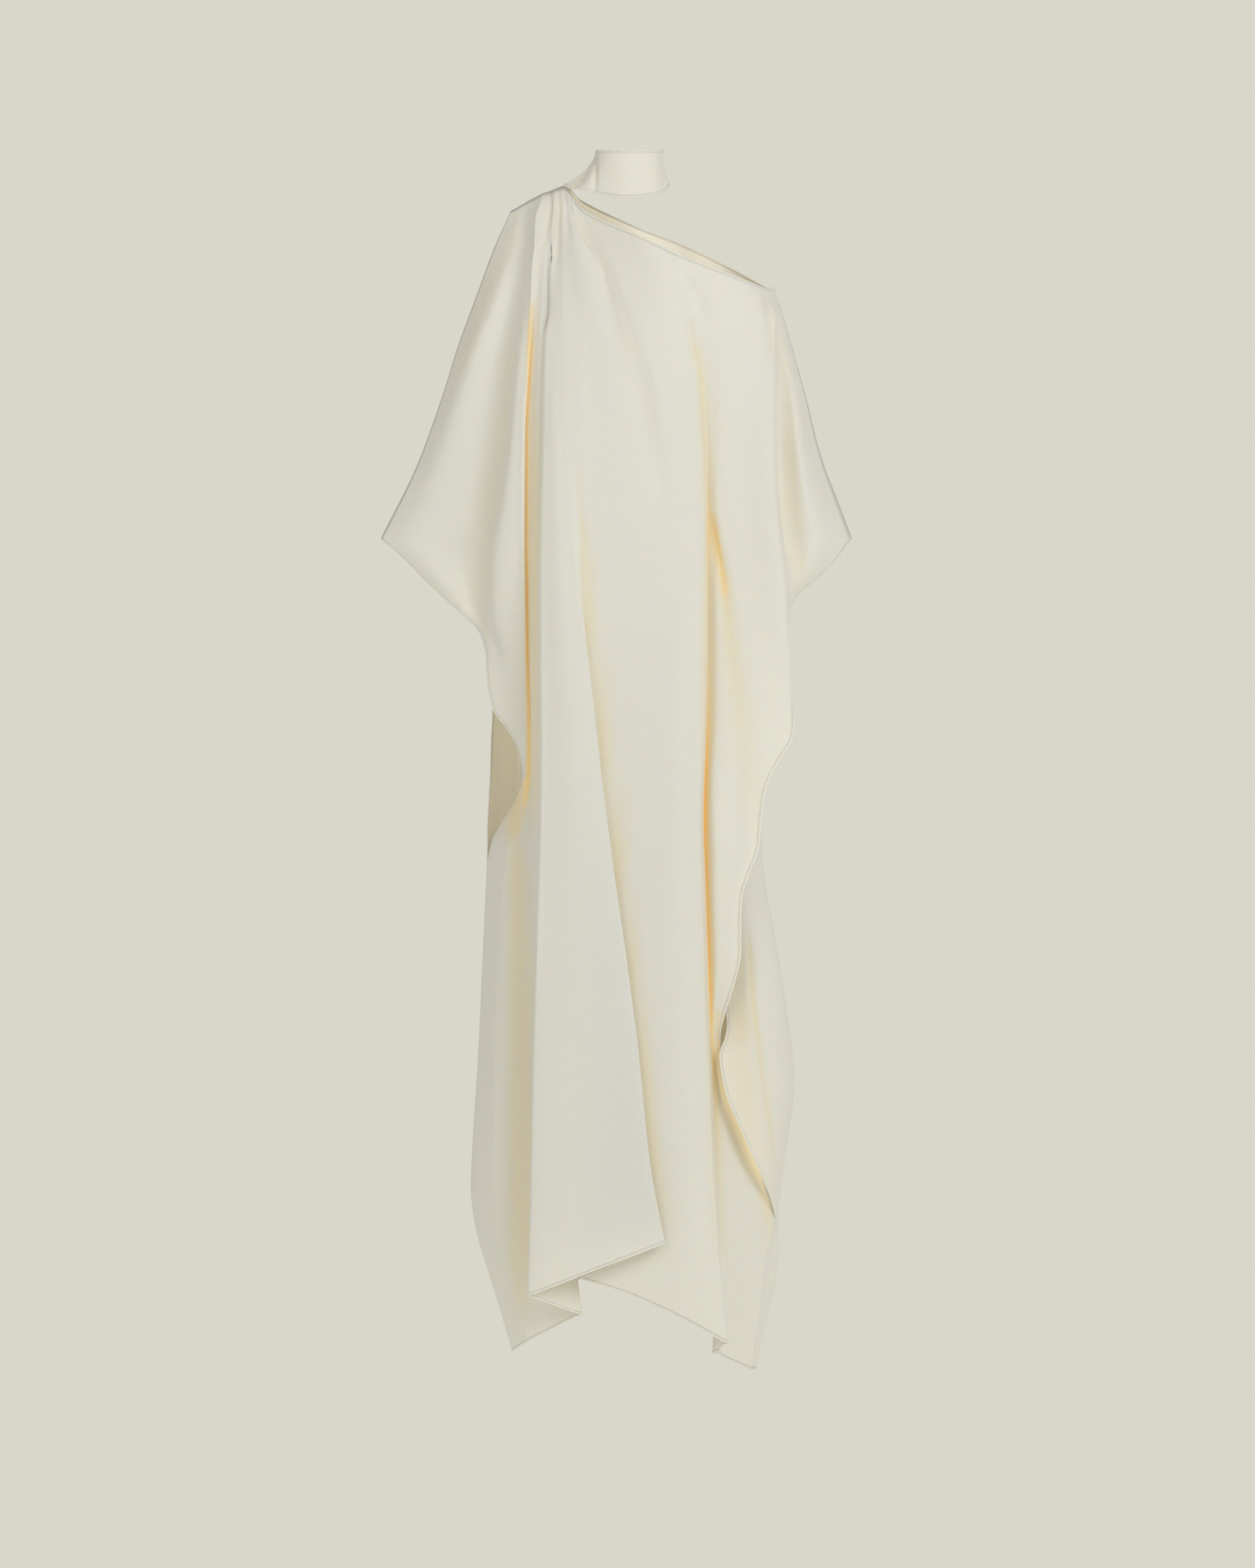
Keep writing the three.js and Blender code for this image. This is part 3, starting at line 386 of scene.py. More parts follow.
BACK_CREASES = [
    crease("crest_left", "turn",
           (-4, -22, 3, 0, 0), (-22, -21, 3, -3, 0), (-56, -24, 5, -2, 0), (-90, -26, 6, 0, 0)),
    crease("crest_left", "turn",
           (-4, -10, 3, 0, 0), (-22, -6, 3, -3, 0), (-70, 0, 6, -3, 0), (-140, 10, 10, 0, 0)),
    crease("crest_left", "turn",
           (-30, 30, 6, 0, 0), (-80, 55, 10, -4, 0), (-180, 92, 14, -5, 0), (-320, 112, 15, -4, 0),
           (-440, 118, 18, 0, 0)),
    # two long strips of painted warm light down the back, with no change of shape
    crease("crest_left", "turn",
           (-170, -36, 8, 0, 0), (-260, -38, 9, 0, 0.3), (-700, -38, 10, 0, 0.3), (-1300, -30, 12, 0, 0)),
    crease("crest_left", "turn",
           (-180, 184, 8, 0, 0), (-280, 189, 9, 0, 0.3), (-800, 191, 10, 0, 0.3), (-1350, 198, 12, 0, 0)),
    # crease down the cloth that comes round to the front, with painted warm light along it, and its shaded
    # half, a shallow hollow with painted shade in it
    crease("turn", "edge_right",
           (-960, 236, 4, 0, 0), (-1000, 239, 4, -1.5, 0.3), (-1060, 243, 4, -2, 0.35),
           (-1130, 252, 4, -2, 0.3), (-1230, 265, 4, -2, 0.25), (-1310, 274, 4, 0, 0)),
    crease("turn", "edge_right",
           (-960, 222, 12, 0, 0), (-1020, 226, 14, -2, 0.14), (-1110, 226, 18, -3, 0.2),
           (-1200, 234, 18, -2, 0.16), (-1290, 256, 12, 0, 0)),
]
# Painted light, which stands in for light that comes through the cloth from behind, in the same columns:
# on the outer face of the front, under the flap's edge, and on the inner face of the back, below its
# neckline and behind the left slit
FRONT_PAINTED_BACKLIGHT = [
    crease("wing", "edge_right",
           (-1100, 196, 8, 0, 0), (-1140, 200, 8, 0, 0.2), (-1185, 208, 11, 0, 0.3),
           (-1228, 227, 12, 0, 0.32), (-1280, 249, 12, 0, 0.32), (-1308, 262, 10, 0, 0.26),
           (-1345, 270, 8, 0, 0)),
]
BACK_PAINTED_BACKLIGHT = [
    crease("crest_left", "edge_right",
           (-2, 5, 10, 0, 0.3), (-30, 32, 18, 0, 0.3), (-56, 84, 24, 0, 0.26), (-84, 145, 30, 0, 0.22),
           (-108, 198, 30, 0, 0.18), (-136, 262, 20, 0, 0.1)),
    crease("edge_left", "crest_left",
           (-640, -90, 24, 0, 0), (-700, -86, 26, 0, 0.14), (-840, -86, 26, 0, 0.14),
           (-884, -90, 20, 0, 0)),
]
COLLAR_CREASES = [
    # crease from the collar's top to the seam, and the hollow between it and the shoulder, with a little
    # painted shade in both
    crease("start", "end",
           (60, 37, 3, -3, 0), (20, 37, 3, -4, 0.05), (-2, 36, 4, -3, 0), (-14, 34, 5, 0, 0)),
    crease("start", "end",
           (60, 30, 8, -1, 0), (25, 20, 11, -7, 0.12), (6, 12, 10, -5, 0.12), (-6, 6, 6, 0, 0)),
    crease("start", "end",
           (60, 122, 5, -1, 0), (10, 126, 6, -1.5, 0), (-10, 130, 6, 0, 0)),
]


def spread(start, end, count):
    """Places from start up to, but without, end."""
    return np.linspace(start, end, count, endpoint=False)


# Rows of the cloth: from 0 at the top edge to 1 at the yoke, 2 at the skirt and 3 at the hem, and how
# many rows lie in each stretch
ROW_COUNTS = {"shoulder": 30, "sleeve": 36, "slit": 52, "side": 52, "hem": 22}
LEVELS = np.concatenate([
    spread(YOKE_Z, TIP_Z, ROW_COUNTS["sleeve"]), spread(TIP_Z, SLIT_Z, ROW_COUNTS["slit"]),
    spread(SLIT_Z, SKIRT_Z, ROW_COUNTS["side"]),
])
ROWS = np.concatenate([
    spread(0, 1, ROW_COUNTS["shoulder"]), 1 + (YOKE_Z - LEVELS) / (YOKE_Z - SKIRT_Z),
    spread(2, 3, ROW_COUNTS["hem"]), [3],
])


def smooth_at(rows, column, z):
    """A column's values at heights z, on a smooth line that never swings past its rows."""
    heights, values = rows["z"], rows[column]
    slopes = np.diff(values) / np.diff(heights)
    before = np.append(slopes[0], slopes)
    after = np.append(slopes, slopes[-1])
    same_way = before * after > 0
    bends = np.where(same_way, 2 * before * after / np.where(same_way, before + after, 1), 0)
    z = np.clip(z, heights[-1], heights[0])
    end = np.clip(np.searchsorted(-heights, -z), 1, len(heights) - 1)
    start = end - 1
    length = heights[end] - heights[start]
    share = (z - heights[start]) / length
    rest = 1 - share
    return (values[start] * (1 + 2 * share) * rest**2 + bends[start] * length * share * rest**2
            + values[end] * share**2 * (3 - 2 * share) - bends[end] * length * share**2 * rest)


def line(*pieces):
    """Where every row meets a line, which is one table or several that meet at corners."""
    z = np.interp(ROWS, [0, 1, 2, 3], [pieces[0]["z"][0], YOKE_Z, SKIRT_Z, pieces[-1]["z"][-1]])
    x = smooth_at(pieces[-1], "x", z)
    y = smooth_at(pieces[-1], "y", z)
    for piece in reversed(pieces[:-1]):
        inside = z >= piece["z"][-1]
        x = np.where(inside, smooth_at(piece, "x", z), x)
        y = np.where(inside, smooth_at(piece, "y", z), y)
    return np.stack([x, y, z], axis=-1)


def between(start, end, rows):
    """A line between two lines, which stands out from the straight way between them."""
    middle = (start[:, 2] + end[:, 2]) / 2
    line_between = start + (end - start) * smooth_at(rows, "share", middle)[:, None]
    fullness = np.minimum(np.abs(end[:, 0] - start[:, 0]) / WIDE_SPAN, 1)
    line_between[:, 1] += smooth_at(rows, "back", middle) * fullness
    return line_between


def smooth_step(value, low, high):
    share = np.clip((value - low) / (high - low), 0, 1)
    return share**2 * (3 - 2 * share)


def fold(before, edge, after, side, goes_back, hidden):
    """The three lines of a fold. Where it passes over the line that it hides, it turns back in a half
    round, and elsewhere it is a soft bend. side is the way that it points in x, and goes_back says
    whether its far layer comes last."""
    turned = smooth_step(side * (edge[:, 0] - hidden[:, 0]), *TURN_OVERLAPS)[:, None]

    def towards(neighbour, far):
        distance = np.linalg.norm(neighbour - edge, axis=1)[:, None]
        reach = np.minimum(FOLD_START, BEND_SHARE * distance)
        soft = edge + (neighbour - edge) * reach / distance
        tight = np.stack(
            [edge[:, 0] - side * FOLD_START, edge[:, 1] + (FOLD_GAP if far else 0), soft[:, 2]], axis=-1
        )
        return soft + (tight - soft) * turned

    middle = edge + turned * np.array([0, FOLD_GAP / 2, 0])
    return [towards(before, not goes_back), middle, towards(after, goes_back)]


def front_lines():
    """The front panel's lines from left to right, in named groups, each with the number of columns from
    any of its lines to the next."""
    edge_left = line(OVERARM_LEFT, FRONT_FREE_LEFT, SIDE_LEFT)
    crest_left = line(CREST_LEFT)
    valley_left = line(VALLEY_LEFT)
    ridge_left = line(RIDGE_LEFT)
    pleat = line(PLEAT)
    tuck = line(TUCK)
    bodice = line(BODICE)
    side_front = line(SIDE_FRONT)
    ridge_right = line(RIDGE_RIGHT)
    valley_right = line(VALLEY_RIGHT)
    edge_right = line(OVERARM_RIGHT, FRONT_FREE_RIGHT, SIDE_RIGHT)
    edge_share = smooth_at(EDGE_WIDTH, "share", edge_right[:, 2])[:, None]
    below = (edge_right[:, 2] < CREST_RIGHT["z"][-1])[:, None]
    crest_right = np.where(below, edge_right + (valley_right - edge_right) * edge_share, line(CREST_RIGHT))
    arm = between(edge_left, crest_left, ARM_FRONT)
    fly = between(edge_left, crest_left, FLY_FRONT)
    trough = between(edge_left, crest_left, TROUGH_FRONT)
    belly = between(ridge_left, pleat, BELLY_FRONT)
    wing = between(valley_right, crest_right, WING_FRONT)
    wing_side = between(valley_right, crest_right, WING_SIDE_FRONT)
    band = between(crest_right, edge_right, BAND_RIGHT)
    cuff = between(crest_right, edge_right, CUFF_RIGHT)
    return [
        ("edge_left", 9, [edge_left, arm, fly, trough]),
        ("crest_left", 4, fold(trough, crest_left, valley_left, 1, True, valley_left)),
        ("valley_left", 4, fold(crest_left, valley_left, ridge_left, 1, False, ridge_left)),
        ("ridge_left", 4, fold(valley_left, ridge_left, belly, -1, False, valley_left)),
        ("belly", 8, [belly]),
        ("pleat", 4, fold(belly, pleat, tuck, 1, True, tuck)),
        ("tuck", 4, fold(pleat, tuck, bodice, -1, True, pleat)),
        ("bodice", 8, [bodice, side_front]),
        ("ridge_right", 4, fold(side_front, ridge_right, valley_right, 1, True, valley_right)),
        ("valley_right", 4, fold(ridge_right, valley_right, wing, -1, True, ridge_right)),
        ("wing", 7, [wing, wing_side, crest_right, band, cuff, edge_right]),
    ]


def back_lines():
    """The back panel's lines from left to right as seen from the front, grouped in the same way."""
    edge_left = line(OVERARM_LEFT, BACK_FREE_LEFT, SIDE_LEFT)
    crest_left = line(CREST_BACK_LEFT)
    turn = line(TURN_RIGHT)
    edge_right = line(OVERARM_RIGHT, BACK_FREE_RIGHT, SIDE_RIGHT)
    arm = between(edge_left, crest_left, ARM_BACK)
    fly = between(edge_left, crest_left, FLY_BACK)
    flap = between(turn, edge_right, FLAP_RIGHT)
    folds = [VALLEY_BACK_LEFT, RIDGE_BACK_LEFT, HOLLOW_BACK_LEFT, MIDDLE_BACK, HOLLOW_BACK_RIGHT,
             RIDGE_BACK_RIGHT, VALLEY_BACK_RIGHT, CREST_BACK_RIGHT]
    return [
        ("edge_left", 10, [edge_left, arm, fly]),
        ("crest_left", 10, [crest_left] + [line(rows) for rows in folds]),
        ("turn", 10, [turn, flap, edge_right]),
    ]


def cloth_grid(groups):
    """Points of the cloth at their true size. Each row is a centripetal Catmull-Rom curve through the
    lines. Also gives the column where each named group of lines starts."""
    lines = [points for _, _, group in groups for points in group]
    steps = [count for _, count, group in groups for _ in group]
    ends = [2 * lines[0] - lines[1]] + lines + [2 * lines[-1] - lines[-2]]
    columns = []
    for index, count in enumerate(steps[:-1]):
        p0, p1, p2, p3 = ends[index:index + 4]
        gap0, gap1, gap2 = (
            np.maximum(np.linalg.norm(b - a, axis=1)[:, None] ** 0.5, SHORTEST_STEP)
            for a, b in ((p0, p1), (p1, p2), (p2, p3))
        )
        way1 = gap1 * ((p1 - p0) / gap0 - (p2 - p0) / (gap0 + gap1) + (p2 - p1) / gap1)
        way2 = gap1 * ((p2 - p1) / gap1 - (p3 - p1) / (gap1 + gap2) + (p3 - p2) / gap2)
        for share in np.arange(count) / count:
            columns.append(p1 + way1 * share + (3 * (p2 - p1) - 2 * way1 - way2) * share**2
                           + (2 * (p1 - p2) + way1 + way2) * share**3)
    columns.append(lines[-1])
    starts = {}
    place = 0
    for name, count, group in groups:
        starts[name] = place
        place += count * len(group)
    starts["edge_right"] = place
    drawn = np.stack(columns, axis=1)
    scale = 1 - drawn[..., 1:2] / EYE[1]
    grid = EYE + (drawn - EYE) * scale
    grid[..., 1] = drawn[..., 1]
    return grid, starts


def unit(ways):
    return ways / np.maximum(np.linalg.norm(ways, axis=-1, keepdims=True), SHORTEST_WAY)


def headings(grid, axis, closed=False):
    """The way that the cloth runs at each point along an axis, halfway between its ways in and out."""
    ways = unit(np.diff(grid, axis=axis))
    if closed:
        last = unit(np.take(grid, [0], axis) - np.take(grid, [-1], axis))
        ways = np.concatenate([ways, last], axis=axis)
        return unit(ways + np.roll(ways, 1, axis=axis))
    zero = np.zeros_like(np.take(grid, [0], axis))
    return unit(np.concatenate([zero, ways], axis) + np.concatenate([ways, zero], axis))


def facings(grid, closed=False):
    return unit(np.cross(headings(grid, 0), headings(grid, 1, closed)))


def press(grid, facing, creases, starts, mask=1):
    """Presses the creases into the cloth. Also gives how much painted warm shade and light each point
    gets.
    """
    drawn = EYE + (grid - EYE) / (1 - grid[..., 1:2] / EYE[1])
    x, z = drawn[..., 0], drawn[..., 2]
    column = np.arange(grid.shape[1])[None, :]
    lift = np.zeros_like(x)
    glow = np.zeros_like(x)
    for first, last, rows in creases:
        crossed = (column >= starts[first]) & (column <= starts[last])
        inside = crossed & (z <= rows["z"][0]) & (z >= rows["z"][-1])
        near = np.exp(-((x - smooth_at(rows, "x", z)) / smooth_at(rows, "width", z)) ** 2) * inside
        lift += near * smooth_at(rows, "depth", z)
        glow = np.maximum(glow, near * smooth_at(rows, "glow", z))
    return grid + facing * (lift * mask)[..., None], glow * mask


def set_seam(grid, facing, cells, across, outwards):
    """Both pieces face one way at a seam, square to it and to the way that the cloth crosses it, and each
    stands half the gap back."""
    rows, columns = np.array(cells).T
    along = headings(grid[rows, columns], 0)
    normal = unit(np.cross(along, across))
    normal[normal @ outwards < 0] *= -1
    facing[rows, columns] = normal
    grid[rows, columns] += across * SEAM_GAP / 2


# Materials

# A Mix node in colour mode has its two colours on these inputs and its result on this output
MIX_FIRST = 6
MIX_SECOND = 7
MIX_RESULT = 2


def linear(code):
    """A colour from its sRGB hex code."""
    parts = [int(code[i:i + 2], 16) / 255 for i in (1, 3, 5)]
    return [c / 12.92 if c <= 0.04045 else ((c + 0.055) / 1.055) ** 2.4 for c in parts] + [1]


def set_inputs(tree, node, inputs):
    """Sets inputs of a node, each to a value or to another node's output."""
    for name, value in inputs.items():
        if isinstance(value, bpy.types.NodeSocket):
            tree.links.new(value, node.inputs[name])
        else:
            node.inputs[name].default_value = value


def add_node(tree, kind, inputs=(), **settings):
    """A node with its settings and its inputs."""
    node = tree.nodes.new(kind)
    for name, value in settings.items():
        setattr(node, name, value)
    set_inputs(tree, node, dict(inputs))
    return node


def new_material(name):
    material = bpy.data.materials.new(name)
    material.use_nodes = True
    tree = material.node_tree
    return material, tree, tree.nodes["Principled BSDF"]


# Heavy polyester crepe, woven from hard-twisted yarn and steamed: matte, with a fine pebbled grain and
# a faint bloom across its folds. Light comes through it and goes to and fro between its layers, and this
# is painted into its colour: in the deep folds a honey tint is painted shade and an amber emission is
# painted warm light, so they are amber and not black, and a paler cream emission is painted light where
# light comes through from behind. The grain is drawn at 1.6 mm, twice its real size, so that it shows.
# The bleached white drifts by a shade over about 60 mm, and light spreads some 2 mm within the cloth.
GRAIN = 1.6 * M
GRAIN_HEIGHT = 0.3 * M
BLEACH = 60 * M
LIGHT_DEPTH = 2.2 * M
IVORY = "#F2F0E9"
IVORY_DEEP = "#F1EFE8"
PAINTED_SHADE_HONEY = "#E3C88E"
PAINTED_LIGHT_AMBER = "#F2CC85"
PAINTED_LIGHT_CREAM = "#F2E9D0"
PAINTED_FOLD_LIGHT = 0.25
FOLD_CONTRAST = 1.6


def woven_crepe():
    material, tree, shader = new_material("woven_crepe_ivory")
    place = add_node(tree, "ShaderNodeTexCoord").outputs["Object"]
    cloud = add_node(tree, "ShaderNodeTexNoise", {"Vector": place, "Scale": 1 / BLEACH, "Detail": 2.0})
    tone = add_node(tree, "ShaderNodeMix", {
        "Factor": cloud.outputs["Fac"], MIX_FIRST: linear(IVORY), MIX_SECOND: linear(IVORY_DEEP),
    }, data_type="RGBA")
    glow = add_node(tree, "ShaderNodeAttribute", attribute_name="glow")
    # painted shade: in the folds the base colour turns towards honey
    colour = add_node(tree, "ShaderNodeMix", {
        "Factor": glow.outputs["Fac"], MIX_FIRST: tone.outputs[MIX_RESULT], MIX_SECOND: linear(PAINTED_SHADE_HONEY),
    }, data_type="RGBA")
    # painted light: an amber emission in the deep folds, stronger the deeper the fold's value
    depth = add_node(tree, "ShaderNodeMath", {0: glow.outputs["Fac"], 1: FOLD_CONTRAST}, operation="POWER")
    through = add_node(tree, "ShaderNodeMath", {0: depth.outputs[0], 1: PAINTED_FOLD_LIGHT}, operation="MULTIPLY")
    folds = add_node(tree, "ShaderNodeVectorMath", {
        0: linear(PAINTED_LIGHT_AMBER)[:3], "Scale": through.outputs[0],
    }, operation="SCALE")
    # painted light: a cream emission where light comes through the cloth from behind
    behind = add_node(tree, "ShaderNodeAttribute", attribute_name="painted_backlight")
    layers = add_node(tree, "ShaderNodeVectorMath", {
        0: linear(PAINTED_LIGHT_CREAM)[:3], "Scale": behind.outputs["Fac"],
    }, operation="SCALE")
    light = add_node(tree, "ShaderNodeVectorMath", {0: folds.outputs[0], 1: layers.outputs[0]})
    grain = add_node(tree, "ShaderNodeTexNoise", {
        "Vector": place, "Scale": 1 / GRAIN, "Detail": 3.0, "Roughness": 0.6,
    })
    bump = add_node(tree, "ShaderNodeBump", {
        "Height": grain.outputs["Fac"], "Strength": 0.25, "Distance": GRAIN_HEIGHT,
    })
    set_inputs(tree, shader, {
        "Base Color": colour.outputs[MIX_RESULT], "Normal": bump.outputs["Normal"],
        "Emission Color": light.outputs[0], "Emission Strength": 1.0,
        "Subsurface Weight": 1.0, "Subsurface Radius": (1.0, 0.85, 0.6), "Subsurface Scale": LIGHT_DEPTH,
        "Roughness": 0.85, "Specular IOR Level": 0.25, "Sheen Weight": 0.12, "Sheen Roughness": 0.5,
    })
    return material


# Spun polyester sewing thread: two twisted plies, a little glossier than the cloth.
# Its twist repeats every 0.8 mm.
TWIST = 0.8 * M
THREAD = "#E8E2D0"
THREAD_DEEP = "#DCD5C0"


def spun_thread():
    material, tree, shader = new_material("spun_thread_ivory")
    place = add_node(tree, "ShaderNodeTexCoord").outputs["Object"]
    plies = add_node(tree, "ShaderNodeTexWave", {
        "Vector": place, "Scale": 1 / TWIST, "Distortion": 2.0,
    }, bands_direction="DIAGONAL")
    tone = add_node(tree, "ShaderNodeMix", {
        "Factor": plies.outputs["Fac"], MIX_FIRST: linear(THREAD), MIX_SECOND: linear(THREAD_DEEP),
    }, data_type="RGBA")
    set_inputs(tree, shader, {"Base Color": tone.outputs[MIX_RESULT], "Roughness": 0.55})
    return material


# Meshes

def finished(name, mesh, materials):
    thing = bpy.data.objects.new(name, mesh)
    bpy.context.scene.collection.objects.link(thing)
    for material in materials:
        mesh.materials.append(material)
    return thing


def shell(name, grid, facing, glow, painted_backlight=(0, 0), closed=False):
    """A closed thin wall of cloth round a grid of points, with its painted fold shade and light. The
    painted light from behind is given for its outer and its inner face.
    """
    count, width = grid.shape[:2]
    outer = grid + facing * CLOTH / 2
    inner = grid - facing * CLOTH / 2
    points = np.concatenate([outer.reshape(-1, 3), inner.reshape(-1, 3)]) * M
    index = np.arange(count * width).reshape(count, width)
    if closed:
        index = np.concatenate([index, index[:, :1]], axis=1)
    behind = index + count * width

    def strips(layer):
        corners = [layer[:-1, :-1], layer[1:, :-1], layer[1:, 1:], layer[:-1, 1:]]
        return np.stack(corners, axis=-1).reshape(-1, 4)

    def rim(a, b):
        return np.stack([a[:-1], a[1:], b[1:], b[:-1]], axis=-1)

    faces = [strips(index), strips(behind)[:, [0, 3, 2, 1]],
             rim(index[0], behind[0]), rim(behind[-1], index[-1])]
    if not closed:
        faces += [rim(behind[:, 0], index[:, 0]), rim(index[:, -1], behind[:, -1])]
    faces = np.concatenate(faces)
    mesh = bpy.data.meshes.new(name)
    mesh.from_pydata(points.tolist(), [], faces.tolist())
    along = np.cumsum(np.linalg.norm(np.diff(grid, axis=1, prepend=grid[:, :1]), axis=2), axis=1)
    down = np.cumsum(np.linalg.norm(np.diff(grid, axis=0, prepend=grid[:1]), axis=2), axis=0)
    flat = np.stack([along, -down], axis=-1).reshape(-1, 2) * M
    corners = np.zeros(len(mesh.loops), dtype=np.int32)
    mesh.loops.foreach_get("vertex_index", corners)
    mesh.uv_layers.new(name="cloth").data.foreach_set("uv", np.tile(flat, (2, 1))[corners].ravel())
    # the painted fold shade and light, and the painted light from behind, stored for the material
    for key, of_faces in (("glow", (glow, glow)), ("painted_backlight", painted_backlight)):
        values = np.stack([of_face * np.ones_like(glow) for of_face in of_faces]).ravel()
        mesh.attributes.new(key, "FLOAT", "POINT").data.foreach_set("value", values.astype(np.float32))
    mesh.shade_smooth()
    mesh.update()
    return mesh


# Hems: the edge is rolled over twice and sewn down close to the roll. Each path is a line of edge
# points with the way to the cloth and the way that the cloth faces, from which the tree lays the roll
# and its stitches. It scales them from a circle and a ball that are 1 wide.
UNIT_RADIUS = 0.5
ROLL_SIDES = 10
HEM_SIZES = {
    "Roll Width": 3.2, "Roll Thickness": 1.8, "Roll Inset": 1.1, "Stitch Length": 2.4, "Stitch Pitch": 3.2,
    "Stitch Thickness": 0.4, "Stitch Inset": 3.4, "Stitch Height": 0.6,
}


def hem_tree(roll_material, thread_material):
    tree = bpy.data.node_groups.new("rolled_hem", "GeometryNodeTree")
    face = tree.interface
    face.new_socket("Edges", in_out="INPUT", socket_type="NodeSocketGeometry")
    for name in HEM_SIZES:
        face.new_socket(name, in_out="INPUT", socket_type="NodeSocketFloat")
    face.new_socket("Hem", in_out="OUTPUT", socket_type="NodeSocketGeometry")
    given = add_node(tree, "NodeGroupInput").outputs
    path = add_node(tree, "GeometryNodeMeshToCurve", {"Mesh": given["Edges"]})
    inward, facing = [
        add_node(tree, "GeometryNodeInputNamedAttribute", {"Name": name}, data_type="FLOAT_VECTOR")
        for name in ("inward", "facing")
    ]
    into, inset, height = [
        add_node(tree, "ShaderNodeVectorMath", {
            0: way.outputs["Attribute"], "Scale": given[reach],
        }, operation="SCALE")
        for way, reach in ((inward, "Roll Inset"), (inward, "Stitch Inset"), (facing, "Stitch Height"))
    ]

    # the roll: an oval that runs along the edge, turned to the cloth
    centre = add_node(tree, "GeometryNodeSetPosition", {
        "Geometry": path.outputs["Curve"], "Offset": into.outputs[0],
    })
    turned = add_node(tree, "GeometryNodeSetCurveNormal", {
        "Curve": centre.outputs["Geometry"], "Normal": facing.outputs["Attribute"],
    }, mode="FREE")
    oval = add_node(tree, "GeometryNodeCurvePrimitiveCircle", {
        "Resolution": ROLL_SIDES, "Radius": UNIT_RADIUS,
    })
    across = add_node(tree, "ShaderNodeCombineXYZ", {
        "X": given["Roll Thickness"], "Y": given["Roll Width"], "Z": 1.0,
    })
    profile = add_node(tree, "GeometryNodeTransform", {
        "Geometry": oval.outputs["Curve"], "Scale": across.outputs[0],
    })
    roll = add_node(tree, "GeometryNodeCurveToMesh", {
        "Curve": turned.outputs["Curve"], "Profile Curve": profile.outputs["Geometry"], "Fill Caps": True,
    })

    # the stitches: grains of thread on the face of the cloth, in a row beside the roll
    lift = add_node(tree, "ShaderNodeVectorMath", {0: inset.outputs[0], 1: height.outputs[0]})
    seam = add_node(tree, "GeometryNodeSetPosition", {
        "Geometry": path.outputs["Curve"], "Offset": lift.outputs[0],
    })
    even = add_node(tree, "GeometryNodeResampleCurve", {
        "Curve": seam.outputs["Geometry"], "Length": given["Stitch Pitch"],
    }, mode="LENGTH")
    tangent = add_node(tree, "GeometryNodeInputTangent")
    turn = add_node(tree, "FunctionNodeAlignRotationToVector", {"Vector": tangent.outputs[0]}, axis="X")
    ball = add_node(tree, "GeometryNodeMeshIcoSphere", {"Radius": UNIT_RADIUS, "Subdivisions": 1})
    stitch = add_node(tree, "GeometryNodeStoreNamedAttribute", {
        "Geometry": ball.outputs["Mesh"], "Name": "stitch", "Value": True,
    }, data_type="BOOLEAN", domain="FACE")
    size = add_node(tree, "ShaderNodeCombineXYZ", {
        "X": given["Stitch Length"], "Y": given["Stitch Thickness"], "Z": given["Stitch Thickness"],
    })
    stitches = add_node(tree, "GeometryNodeInstanceOnPoints", {
        "Points": even.outputs["Curve"], "Instance": stitch.outputs["Geometry"],
        "Rotation": turn.outputs["Rotation"], "Scale": size.outputs[0],
    })

    both = add_node(tree, "GeometryNodeJoinGeometry")
    tree.links.new(stitches.outputs["Instances"], both.inputs["Geometry"])
    tree.links.new(roll.outputs["Mesh"], both.inputs["Geometry"])
    smooth = add_node(tree, "GeometryNodeSetShadeSmooth", {"Geometry": both.outputs["Geometry"]})
    solid = add_node(tree, "GeometryNodeRealizeInstances", {"Geometry": smooth.outputs["Geometry"]})
    rolled = add_node(tree, "GeometryNodeSetMaterial", {
        "Geometry": solid.outputs["Geometry"], "Material": roll_material,
    })
    is_stitch = add_node(tree, "GeometryNodeInputNamedAttribute", {"Name": "stitch"}, data_type="BOOLEAN")
    sewn = add_node(tree, "GeometryNodeSetMaterial", {
        "Geometry": rolled.outputs["Geometry"], "Selection": is_stitch.outputs["Attribute"],
        "Material": thread_material,
    })
    add_node(tree, "NodeGroupOutput", {"Hem": sewn.outputs["Geometry"]})
    return tree


def hem(name, paths, tree):
    """A rolled and sewn hem along paths of (points, inward ways, facings)."""
    source = bpy.data.meshes.new(name + "_edges")
    edges = []
    total = 0
    for points, _, _ in paths:
        edges += [(total + i, total + i + 1) for i in range(len(points) - 1)]
        total += len(points)
    points, inward, facing = (np.concatenate(part) for part in zip(*paths))
    source.from_pydata((points * M).tolist(), edges, [])
    for key, values in (("inward", inward), ("facing", facing)):
        layer = source.attributes.new(key, "FLOAT_VECTOR", "POINT")
        layer.data.foreach_set("vector", values.astype(np.float32).ravel())
    maker = finished(name + "_maker", source, [])
    modifier = maker.modifiers.new("rolled_hem", "NODES")
    modifier.node_group = tree
    for socket in tree.interface.items_tree:
        if socket.name in HEM_SIZES:
            modifier[socket.identifier] = HEM_SIZES[socket.name] * M
    evaluated = maker.evaluated_get(bpy.context.evaluated_depsgraph_get())
    mesh = bpy.data.meshes.new_from_object(evaluated)
    mesh.name = name
    bpy.data.objects.remove(maker)
    return finished(name, mesh, [])


def edge_path(grid, facing, rows, columns, inward_rows, inward_columns):
    """The points of an edge with the way into the cloth and the way that it faces."""
    points = grid[rows, columns]
    inward = unit(grid[inward_rows, inward_columns] - points)
    return points, inward, facing[rows, columns]


# Panels

